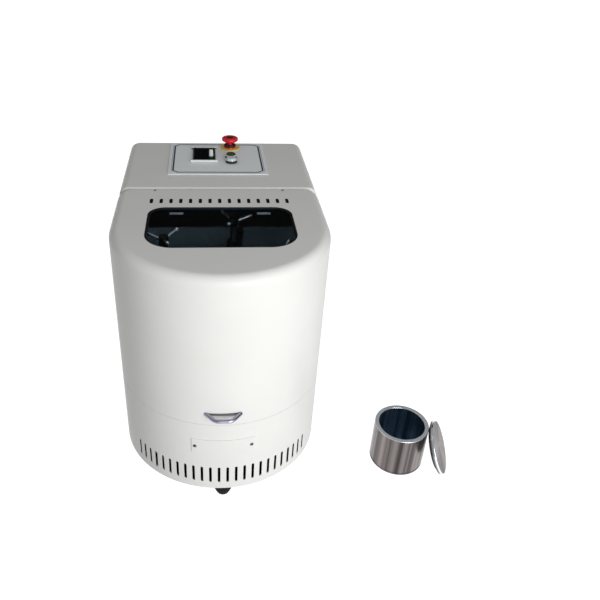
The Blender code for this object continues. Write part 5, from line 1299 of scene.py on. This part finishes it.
knob = lofted([knob_ring(KNOB_RADIUS, knob_foot, 0),
               knob_ring(KNOB_RADIUS, knob_foot + KNOB_COLLAR - FLUTE_DEPTH, 0),
               knob_ring(KNOB_RADIUS - 0.0004, knob_foot + KNOB_COLLAR, FLUTE_DEPTH),
               knob_ring(KNOB_TOP_RADIUS, knob_top - 0.001, FLUTE_DEPTH),
               knob_ring(KNOB_TOP_RADIUS - 0.001, knob_top, 0.0001)])
cover_node("fluted_knob", knob, [white_plastic, green_plastic], "white_plastic", "speed_knob",
           pick=lambda middle, normal: int(middle.z < knob_foot + KNOB_COLLAR))

# %% [markdown]
# Each push button is a barrel that stays and a cap that moves in it. Both are turned. The
# barrel's profile goes up the outside, over the bright rim and down the bore, so there is a
# real gap round the cap. The caps' height comes from the model, which sets their stroke.

# %% Push buttons: a black barrel with a bright rim, and a coloured cap
BUTTON_X, START_Y, STOP_Y = 0.0355, 0.386, 0.355
BEZEL_RADIUS, BEZEL_HEIGHT, CAP_RADIUS, CAP_HEIGHT = 0.015, 0.009, 0.0115, 0.0065
BEZEL_EDGE, BORE_EDGE, CAP_EDGE, BARREL_FLOOR, BRIGHT_BAND = 0.002, 0.0005, 0.001, 0.0015, 0.003

bezel_bright = finish_of("bezel_bright", (0.92, 0.92, 0.93), 0.30, metallic=0.4, bump=0.01)
for button, y, finish, slot in (("start", START_Y, green_plastic, "green_plastic"),
                                ("stop", STOP_Y, white_plastic, "white_plastic")):
    spot = AXIS + Vector((BUTTON_X, y, CONTROL_BASE))
    bore = CAP_RADIUS + HAIR
    barrel = turned([(0, 0), (BEZEL_RADIUS, 0), (BEZEL_RADIUS, BEZEL_HEIGHT - BEZEL_EDGE)]
                    + round_edge((BEZEL_RADIUS - BEZEL_EDGE, BEZEL_HEIGHT - BEZEL_EDGE),
                                 BEZEL_EDGE, 15, 90, 5)
                    + [(bore + BORE_EDGE, BEZEL_HEIGHT), (bore, BEZEL_HEIGHT - BORE_EDGE),
                       (bore, BARREL_FLOOR), (0, BARREL_FLOOR)], 64)
    cover_node(f"{button}_barrel", put(barrel, spot), [bezel_bright, black_plastic], "chrome",
               f"{button}_bezel", pick=lambda middle, normal:
               int(middle.z < CONTROL_BASE + BEZEL_HEIGHT - BRIGHT_BAND))
    cap_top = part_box(f"{button}_button")[1].z - CONTROL_BASE
    cap = turned([(0, cap_top - CAP_HEIGHT), (CAP_RADIUS, cap_top - CAP_HEIGHT)]
                 + round_edge((CAP_RADIUS - CAP_EDGE, cap_top - CAP_EDGE), CAP_EDGE, 0, 90)
                 + [(CAP_RADIUS - 0.004, cap_top), (0, cap_top - 0.0004)], 64)
    cover_node(f"{button}_cap", put(cap, spot), finish, slot, f"{button}_button")

# %% [markdown]
# The emergency stop is a red mushroom head on a stem that slides in a black neck, over a yellow
# ring. Head and collar are turned from one profile each, with the dish in the head's top and
# the groove round the neck drawn into the profile.

# %% Emergency stop: sizes, and the yellow ring with its black neck
ESTOP_SPOT = AXIS + Vector((BUTTON_X, 0.462, CONTROL_BASE))
RING_RADIUS, RING_THICKNESS, RING_EDGE = 0.0265, 0.002, 0.0006
NECK_RADIUS, NECK_HEIGHT, NECK_EDGE, COLLAR_FLOOR = 0.0160, 0.010, 0.0012, 0.0014
HEAD_RADIUS, HEAD_HEIGHT, STEM_RADIUS, DISH_RADIUS = 0.022, 0.012, 0.006, 0.010
# Corners of the groove round the neck: how deep it is there, and how high.
NECK_GROOVE = ((0.0005, 0.0044), (0.0012, 0.0048), (0.0012, 0.0056), (0, 0.0060))
RED_FOOT_TOP = 0.0046

collar = turned([(0, 0), (RING_RADIUS, 0)]
                + round_edge((RING_RADIUS - RING_EDGE, RING_THICKNESS - RING_EDGE),
                             RING_EDGE, 0, 90)
                + [(NECK_RADIUS, RING_THICKNESS)]
                + [(NECK_RADIUS - depth, height) for depth, height in NECK_GROOVE]
                + [(NECK_RADIUS, NECK_HEIGHT - NECK_EDGE)]
                + round_edge((NECK_RADIUS - NECK_EDGE, NECK_HEIGHT - NECK_EDGE), NECK_EDGE, 0, 90)
                + [(STEM_RADIUS + HAIR, NECK_HEIGHT), (STEM_RADIUS + HAIR, COLLAR_FLOOR),
                   (0, COLLAR_FLOOR)], 72)


def collar_zone(middle, normal):
    """Yellow ring 0, red foot of the neck 1, black neck 2."""
    height = middle.z - CONTROL_BASE
    return 0 if height < RING_THICKNESS + HAIR else 1 if height < RED_FOOT_TOP else 2


cover_node("stop_collar", put(collar, ESTOP_SPOT), [yellow_plastic, red_plastic, black_plastic],
           "yellow_plastic", "estop_base", pick=collar_zone)

# %% The red mushroom head
head_low, head_high = (corner.z - CONTROL_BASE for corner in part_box("estop_head"))
head_foot = head_high - HEAD_HEIGHT
# The flare under the head: radius, and height over the underside.
HEAD_FLARE = ((0.0150, 0), (0.0165, 0.0010), (0.0185, 0.0036))
mushroom = turned([(0, head_low), (STEM_RADIUS, head_low), (STEM_RADIUS, head_foot)]
                  + [(radius, head_foot + height) for radius, height in HEAD_FLARE]
                  + round_edge((HEAD_RADIUS - 0.003, head_foot + 0.0062), 0.003, -40, 0)
                  + round_edge((HEAD_RADIUS - 0.004, head_high - 0.004), 0.004, 0, 90, 6)
                  + [(DISH_RADIUS, head_high), (DISH_RADIUS - 0.0006, head_high - 0.0008),
                     (0, head_high - 0.001)], 72)
cover_node("mushroom_head", put(mushroom, ESTOP_SPOT), [red_plastic, black_plastic], "red_plastic",
           "estop_head", pick=lambda middle, normal: int(
               normal.z > HALFWAY and middle.z - CONTROL_BASE > head_high - 0.0012
               and math.hypot(middle.x - ESTOP_SPOT.x, middle.y - ESTOP_SPOT.y) < DISH_RADIUS))

# %% [markdown]
# ## Pull, access plate and feet
# The hood's pull is a bent chrome rod on a strip that follows the curve of the front. The rod
# is one round outline carried along a smooth path, so its bends reflect without breaks.

# %% Rods and strips that follow the curved front
HANDLE_HEIGHT, HANDLE_FOOT_X, HANDLE_BAR_X, HANDLE_REACH = 0.268, 0.037, 0.018, 0.026
ROD_RADIUS, ROD_BEND, BEND_STEPS = 0.0045, 0.009, 12
STRIP_WIDTH, STRIP_HEIGHT, STRIP_THICKNESS = 0.080, 0.0055, 0.002
# The bar lies this little behind the solid's front, so that rounding can't take it past it.
BAR_PLAY = 0.00002


def on_front(x, out):
    """The y of the curved front, moved outwards, at some x."""
    half, bulge = BODY_WIDTH / 2 + out, FRONT_BULGE + out
    return -bulge * math.sqrt(1 - (x / half) ** 2)


def curved_strip(width, low, high, inner, outer, steps=48):
    """A strip that follows the front of the body."""
    rings = []
    for k in range(steps + 1):
        x = width * (k / steps - 0.5)
        rings.append([(AXIS.x + x, AXIS.y + on_front(x, out), height)
                      for out, height in ((inner, low), (outer, low),
                                          (outer, high), (inner, high))])
    return lofted(rings)


def carried(path, radius, steps=24):
    """A round rod along a path that stays level."""
    rings = []
    for k, point in enumerate(path):
        ahead = path[min(k + 1, len(path) - 1)] - path[max(k - 1, 0)]
        side = Vector((-ahead.y, ahead.x, 0)).normalized()
        rings.append([point + radius * (side * math.cos(FULL_TURN * j / steps)
                                        + Vector((0, 0, 1)) * math.sin(FULL_TURN * j / steps))
                      for j in range(steps)])
    return lofted(rings)


print("the front stands out", round(-on_front(0, 0), 3), "from the drive axis")

# %% [markdown]
# Half of the rod's path runs from a foot to the knee, round it and on to the middle, and the
# other half is its mirror image. The knee is a short curve between two straight lines.

# %% The pull and the strip under it
def pull_mesh():
    """A rod along half a path with a rounded knee and its mirror image, and the strip."""
    foot = Vector((HANDLE_FOOT_X, on_front(HANDLE_FOOT_X, HAIR), HANDLE_HEIGHT))
    knee = Vector((HANDLE_BAR_X, ROD_RADIUS + BAR_PLAY - FRONT_BULGE - HANDLE_REACH,
                   HANDLE_HEIGHT))
    back, across = (foot - knee).normalized() * ROD_BEND, Vector((-ROD_BEND, 0, 0))
    half = [foot, foot.lerp(knee, 0.3)]
    for share in (k / BEND_STEPS for k in range(BEND_STEPS + 1)):
        half.append(knee + back * (1 - share) ** 2 + across * share ** 2)
    half.append(Vector((0, knee.y, HANDLE_HEIGHT)))
    path = half + [Vector((-spot.x, spot.y, spot.z)) for spot in reversed(half[:-1])]
    rod = put(carried(path, ROD_RADIUS), AXIS)
    strip = curved_strip(STRIP_WIDTH, HANDLE_HEIGHT - STRIP_HEIGHT / 2,
                         HANDLE_HEIGHT + STRIP_HEIGHT / 2, HAIR, HAIR + STRIP_THICKNESS)
    return together([rod, eased(strip, 0.0008)])


def on_rod(middle, normal):
    """The rod is chrome 0, the strip under its ends darker steel 1."""
    strip_face = on_front(middle.x - AXIS.x, HAIR + STRIP_THICKNESS + ROD_OVER_STRIP)
    return int(middle.y - AXIS.y >= strip_face)


ROD_OVER_STRIP = 0.0002
pull_chrome = finish_of("pull_chrome", (0.38, 0.36, 0.46), 0.27, metallic=1.0, bump=0.01)
strip_steel = finish_of("strip_steel", (0.13, 0.13, 0.135), 0.35, metallic=0.8, bump=0.02)
cover_node("bow_pull", pull_mesh(), [pull_chrome, strip_steel], "chrome", "hood_handle",
           pick=on_rod)

# %% [markdown]
# The access plate is a thin cover that bends with the front. It is the strip's shape again,
# taller and thinner, so the same helper makes it.

# %% Access plate
ACCESS_WIDTH, ACCESS_BOTTOM, ACCESS_TOP, ACCESS_THICKNESS = 0.140, 0.152, 0.192, 0.0015
plate = curved_strip(ACCESS_WIDTH, ACCESS_BOTTOM, ACCESS_TOP, HAIR, HAIR + ACCESS_THICKNESS)
cover_node("access_cover", eased(plate, 0.0005), enamel, "enamel", "access_plate")

# %% [markdown]
# A foot is moulded rubber that narrows towards the floor, with a groove in its sole that grips.
# It is turned, then stretched to the height that the model has between floor and base.

# %% Rubber feet
# Parts of the foot's profile, as radius and height over the floor.
SOLE_GROOVE = [(0.0095, 0), (0.0100, 0.0010), (0.0125, 0.0010), (0.0130, 0)]
FOOT_FLANK = [(0.0182, 0.008), (0.0208, 0.015), (0.0220, 0.0225), (0.0222, 0.0260),
              (0.0222, 0.0340)]
BOSS_RADIUS, RUBBER_TOP, RUBBER_EDGE = 0.0120, 0.0365, 0.0015


def foot_mesh():
    """A rubber foot that widens upwards, with a grooved sole and a boss on top."""
    top = FLOOR_CLEARANCE + WALL - HAIR
    return turned([(0, 0)] + SOLE_GROOVE + round_edge((0.0135, RUBBER_EDGE), RUBBER_EDGE, -90, 0, 3)
                  + FOOT_FLANK
                  + round_edge((0.0207, RUBBER_TOP - RUBBER_EDGE), RUBBER_EDGE, 0, 90, 4)
                  + [(BOSS_RADIUS, RUBBER_TOP), (BOSS_RADIUS, top), (0, top)], 56)


for node in ("front_foot", "rear_left_foot", "rear_right_foot"):
    low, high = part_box(node)
    foot = foot_mesh()
    stretch = high.z / max(vertex.co.z for vertex in foot.vertices)
    foot.transform(Matrix.Scale(stretch, 4, (0, 0, 1)))
    middle = Vector(((low.x + high.x) / 2, (low.y + high.y) / 2, 0))
    cover_node(f"rubber_{node}", put(foot, middle), rubber, "rubber", node)

# %% [markdown]
# ## The window
# A smoked pane is held under the opening by a rubber edging and two sprung clips at the back.
# Smoked glass is a clear shader with a blue-grey tint. It could also be a volume that absorbs
# light, but a tint renders faster and comes through the export. The dark room behind it does
# the rest, which is why mostly the bright clamp handles are seen.

# %% Smoked glass
GLASS_TINT = (0.82, 0.89, 0.95)


def smoked_glass():
    """Tinted clear glass with a slight bluish cast."""
    material, tree, shader = new_material("smoked_glass", Transmission_Weight=1.0,
                                          Roughness=0.03, IOR=1.45)
    clouds = maths(tree, "MULTIPLY_ADD", object_noise(tree, 4.0), 0.06, 0.97)
    tree.links.new(multiplied(tree, GLASS_TINT, clouds), shader.inputs["Base Color"])
    material.diffuse_color = (0.02, 0.025, 0.03, 0.8)
    return material


pane_low, pane_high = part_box("window_pane")
overlap = (pane_high.x - pane_low.x) / 2 - WINDOW[1][0]


def window_ring(inset, height):
    """The window's outline, drawn in by an inset, at a height."""
    (x0, y0), (x1, y1) = WINDOW
    return at_height(round_box((x0 + inset, y0 + inset), (x1 - inset, y1 - inset),
                               WINDOW_FRONT_CORNER - inset, WINDOW_REAR_CORNER - inset, 24), height)


pane = lofted([window_ring(-overlap, pane_low.z), window_ring(-overlap, pane_high.z)])
cover_node("smoked_pane", pane, smoked_glass(), "smoked_glass", "window_pane")

# %% [markdown]
# The edging is a moulded rubber strip with a thin lip over the rim of the sheet. Its section is
# carried round the window's own outline by drawing that outline in, once for each corner of the
# section. The clips are small sprung plates under the pane.

# %% Rubber edging round the opening and the clips that hold the pane
EDGING_WIDTH, EDGING_RISE = 0.0055, 0.0006
pane_top = pane_high.z
# Corners of the edging's section: how far in from the rim, and how high.
edging_section = [(HAIR, pane_top + HAIR), (HAIR, BODY_TOP - 0.0006),
                  (0.0014, BODY_TOP + EDGING_RISE / 2), (EDGING_WIDTH - 0.0012, BODY_TOP - 0.0008),
                  (EDGING_WIDTH, pane_top + 0.0009), (EDGING_WIDTH, pane_top + HAIR)]
edging_ring = lofted([window_ring(inset, height) for inset, height in edging_section],
                     ring_of_rings=True)
# The edging's rear strip is a dark blue that stands in for light on the lit rear edge: painted
# light.
edging_painted_light = finish_of("edging_rear_painted_light", (0.008, 0.016, 0.026), 0.50, specular=0.1)
show("window_edging", edging_ring, [rubber, edging_painted_light], "hood", "rubber",
     pick=lambda middle, normal: int(middle.y - AXIS.y > WINDOW[1][1] - EDGING_WIDTH))
CLIP_X, CLIP_WIDTH, CLIP_THICKNESS = 0.0965, 0.030, 0.0024
CLIP_BACK, CLIP_FRONT = WINDOW[1][1] - 0.016, WINDOW[1][1] - 0.024
for side, name in ((-1, "pane_clip_left"), (1, "pane_clip_right")):
    clip = block((side * CLIP_X - CLIP_WIDTH / 2, side * CLIP_X + CLIP_WIDTH / 2),
                 (CLIP_FRONT, CLIP_BACK), (pane_low.z - CLIP_THICKNESS, pane_low.z - HAIR))
    show(name, eased(clip, 0.0006), white_plastic, "hood", "plated_steel")

# %% [markdown]
# ## Everything else that shows when the mill is opened or seen from behind
# Flat plates, gears, pulleys and brackets keep the model's own shape, because a real plate has
# no more to it than that. A copy of each solid is merged, since the model's meshes are loose
# triangles, its flat faces are joined up and its sharp edges get a small bevel.

# %% Refined copies of the model's own solids
def refined(node, width):
    """A merged copy of a solid with small bevels on its sharp edges."""
    source = frame["nodes"][node]
    work = bmesh.new()
    work.from_mesh(source.data)
    work.transform(source.matrix_world)
    bmesh.ops.remove_doubles(work, verts=work.verts, dist=LOOSE_CORNERS)
    bmesh.ops.dissolve_limit(work, angle_limit=FLAT_ENOUGH, verts=work.verts, edges=work.edges)
    merged = bpy.data.meshes.new(node)
    work.to_mesh(merged)
    work.free()
    return eased(merged, width, 1, 55)


LOOSE_CORNERS, FLAT_ENOUGH = 1e-6, math.radians(0.5)
REFINED = (
    ("plated_steel", plated, 0.0005, ("base_plate", "left_hinge_leaf", "right_hinge_leaf",
                                      "left_hinge_bracket", "right_hinge_bracket")),
    ("grey_enamel", room_grey, 0.0004, ("deck_plate",)),
    ("grey_enamel", room_wall, 0.0004, ("bulkhead",)),
    ("dark_steel", dark_steel, 0.0004, ("ring_gear",)),
    ("stainless", rim_steel, 0.0004, ("main_bearing", "main_shaft")),
    ("enamel", enamel, 0.0005, ("rear_panel",)),
    ("black_plastic", black_plastic, 0.0004, ("mains_inlet",)),
    ("rubber", rubber, 0.0003, ("drive_belt",)),
    ("motor_paint", motor_paint, 0.0008, ("motor",)),
    ("cast_housing", cast, 0.0006, ("bearing_housing", "driven_pulley", "motor_pulley")),
    ("plated_steel", room_blue, 0.0004, ("planet_carrier",)),
    ("plated_steel", room_steel, 0.0004, [f"planet_gear_{k}" for k in (1, 2, 3, 4)]),
)
for slot_name, finish, width, nodes in REFINED:
    for node in nodes:
        cover_node(f"{node}_refined", refined(node, width), finish, slot_name, node, crease=32)

# %% [markdown]
# ## Screws
# Every screw is the same button head with a hexagon socket. A tree like the one for the vents
# puts the head on each point, and the point's angles turn its axis the way the screw faces. The
# rear panel and the access plate are screwed on from outside.

# %% Screw heads with Geometry Nodes
SCREW_HEAD, SCREW_RIM, SCREW_DOME = 0.0040, 0.0005, 0.0018
SOCKET_RADIUS, SOCKET_FLOOR = 0.0014, 0.0010
SCREW_INSET, ACCESS_SCREW_X = 0.010, 0.0625


def head_mesh():
    """A button head with a socket, its seat at height zero and its axis upright."""
    top = SCREW_RIM + SCREW_DOME
    dome = turned([(0, 0), (SCREW_HEAD, 0), (SCREW_HEAD, SCREW_RIM)]
                  + [(SCREW_HEAD * math.cos(a), SCREW_RIM + SCREW_DOME * math.sin(a))
                     for a in (0.35, 0.7, 1.05)] + [(0.0012, top), (0, top)], 20)
    return cut_with(dome, [disc(SOCKET_RADIUS, SOCKET_FLOOR, SCREW_HEAD, 6)])


def screws(name, body, spots):
    """Screw heads at spots, each a place and the direction that its head faces."""
    upright = Vector((0, 0, 1))
    row = [(place, upright.rotation_difference(facing).to_euler()) for place, facing in spots]
    show(name, grown(SCREWS, {"Size": 1.0}, row), screw_steel, body, "dark_steel")


screw_steel = finish_of("screw_steel", (0.085, 0.088, 0.095), 0.38, metallic=0.8)
SCREWS = copies_tree("screw_head", head_mesh(), screw_steel)
access_spots = []
for x in (-ACCESS_SCREW_X, ACCESS_SCREW_X):
    spot = Vector((x, on_front(x, HAIR + ACCESS_THICKNESS), (ACCESS_BOTTOM + ACCESS_TOP) / 2))
    outward = Vector((x / (BODY_WIDTH / 2) ** 2, spot.y / FRONT_BULGE ** 2, 0)).normalized()
    access_spots.append((AXIS + spot, outward))
screws("access_screws", "housing", access_spots)
low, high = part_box("rear_panel")
screws("rear_screws", "housing", [
    (Vector((x, high.y, z)), Vector((0, 1, 0)))
    for x in (low.x + SCREW_INSET, (low.x + high.x) / 2, high.x - SCREW_INSET)
    for z in (low.z + SCREW_INSET, high.z - SCREW_INSET)])

# %% [markdown]
# Under the vents lies a thin black sheet, put there as painted shade: it is only seen as
# darkness in the slots, and it keeps light out of the grinding room, so a plain thin block is
# enough.

# %% A black sheet under the vents of the hood, as painted shade
SHADE_SHEET_HALF_WIDTH, SHADE_SHEET_THICKNESS = 0.170, 0.0047
SHADE_SHEET_FRONT, SHADE_SHEET_BACK = 0.098, 0.137
shade_sheet_top = BODY_TOP - WALL - HAIR
shade_sheet = block((-SHADE_SHEET_HALF_WIDTH, SHADE_SHEET_HALF_WIDTH), (SHADE_SHEET_FRONT, SHADE_SHEET_BACK),
                  (shade_sheet_top - SHADE_SHEET_THICKNESS, shade_sheet_top))
show("vent_mat", shade_sheet, room_black, "hood", "rubber")

# %% [markdown]
# ## Floor, light and camera
# A pale floor, a large soft lamp low in front and an even sky: the curved front is then the
# brightest part and the top is one step darker, as in a catalogue picture. The floor is white
# only to rays that look at it, so it throws no false light up at the mill.

# %% The floor, white where it is seen and grey where it lights
FLOOR_REACH = 15.0
FLOOR_GREY = (0.35, 0.35, 0.35, 1)
WHITE = (1, 1, 1, 1)


def put_on_stage(name, mesh, finish):
    """An object that belongs to the picture and not to the mill."""
    mesh.materials.append(finish)
    thing = bpy.data.objects.new(name, mesh)
    bpy.context.scene.collection.objects.link(thing)
    return thing


def floor_paper():
    """Matt paper that camera, reflections and glass see as white."""
    material, tree, shader = new_material(
        "floor_paper", Base_Color=FLOOR_GREY, Roughness=0.9, Specular_IOR_Level=0.0,
        Emission_Color=WHITE)
    path = tree.nodes.new("ShaderNodeLightPath")
    seen = maths(tree, "MAXIMUM", path.outputs["Is Camera Ray"], path.outputs["Is Glossy Ray"])
    seen = maths(tree, "MAXIMUM", seen, path.outputs["Is Transmission Ray"])
    tree.links.new(seen, shader.inputs["Emission Strength"])
    return material


put_on_stage("floor", mesh_of([(x * FLOOR_REACH, y * FLOOR_REACH, 0) for x, y in (
    (-1, -1), (1, -1), (1, 1), (-1, 1))], [(0, 1, 2, 3)]), floor_paper())
print("floor ready")

# %% [markdown]
# One lamp and an even sky light the mill softly from the front. Polished metal and glass show
# what stands round them, and in a white room that is only white, so black flags behind the
# mill, in front of it and on its right give them something dark to mirror.

# %% The lamp, the flags and the even sky
def aim(thing, target):
    """Turn a lamp towards a point."""
    thing.rotation_euler = (Vector(target) - thing.location).to_track_quat("-Z", "Y").to_euler()


def lamp(name, place, target, size, power):
    """A square soft lamp, placed from the drive axis."""
    data = bpy.data.lights.new(name, "AREA")
    data.shape, data.size, data.energy = "SQUARE", size, power
    made = bpy.data.objects.new(name, data)
    bpy.context.scene.collection.objects.link(made)
    made.location = AXIS + Vector(place)
    aim(made, AXIS + Vector(target))


def flag(name, *ranges):
    """A black cloth that only reflections see."""
    cloth = put_on_stage(name, block(*ranges), room_black)
    cloth.visible_camera = cloth.visible_diffuse = cloth.visible_shadow = False


flag("rear_flag", (-2.5, 2.5), (2.60, 2.61), (0.9, 2.1))
flag("front_flag", (-1.4, 1.4), (-2.61, -2.60), (0.05, 0.75))
flag("side_flag", (1.20, 1.21), (-0.45, 1.6), (0.02, 0.9))
lamp("front_lamp", place=(0.90, -2.15, 0.95), target=(0, 0, 0.35), size=1.4, power=45.5)
# The sky lights the mill at about a third of the white that the camera sees.
SKY_LIGHT = 0.35
world = bpy.data.worlds.new("even_sky")
bpy.context.scene.world = world
world.use_nodes = True
sky = world.node_tree.nodes["Background"]
sky.inputs["Color"].default_value = WHITE
camera_ray = world.node_tree.nodes.new("ShaderNodeLightPath").outputs["Is Camera Ray"]
world.node_tree.links.new(maths(world.node_tree, "MAXIMUM", camera_ray, SKY_LIGHT),
                          sky.inputs["Strength"])
print("lamp and sky ready")

# %% [markdown]
# The camera looks down at the mill from the front, a little over a metre away. Its place, its
# turn and its focal length were worked out beforehand from the edges of the body in the
# photograph, in pixels of a picture 600 wide. Here they become a lens and a shift.

# %% The camera, solved from the picture's edges of the body
CAMERA_PLACE = (-0.0300, -1.2294, 1.2036)
YAW, PITCH, ROLL = (math.radians(angle) for angle in (5.3936, 32.8419, 2.1873))
FOCAL_PIXELS, PICTURE_WIDTH, MIDDLE_X = 639.209, 600, 258.431
SENSOR_WIDTH = 36

camera = bpy.data.objects.new("camera", bpy.data.cameras.new("camera"))
bpy.context.scene.collection.objects.link(camera)
forward = Vector((math.sin(YAW) * math.cos(PITCH), math.cos(YAW) * math.cos(PITCH),
                  -math.sin(PITCH)))
right = Vector((math.cos(YAW), -math.sin(YAW), 0))
up = right.cross(forward)
turned_right = right * math.cos(ROLL) + up * math.sin(ROLL)
turned_up = up * math.cos(ROLL) - right * math.sin(ROLL)
camera.matrix_world = Matrix.Translation(AXIS + Vector(CAMERA_PLACE)) @ Matrix(
    (turned_right, turned_up, -forward)).transposed().to_4x4()
camera.data.sensor_width = SENSOR_WIDTH
camera.data.lens = FOCAL_PIXELS * camera.data.sensor_width / PICTURE_WIDTH
camera.data.shift_x = (PICTURE_WIDTH / 2 - MIDDLE_X) / PICTURE_WIDTH
bpy.context.scene.camera = camera
bpy.context.scene.view_settings.view_transform = "Standard"
print("lens:", round(camera.data.lens, 2))
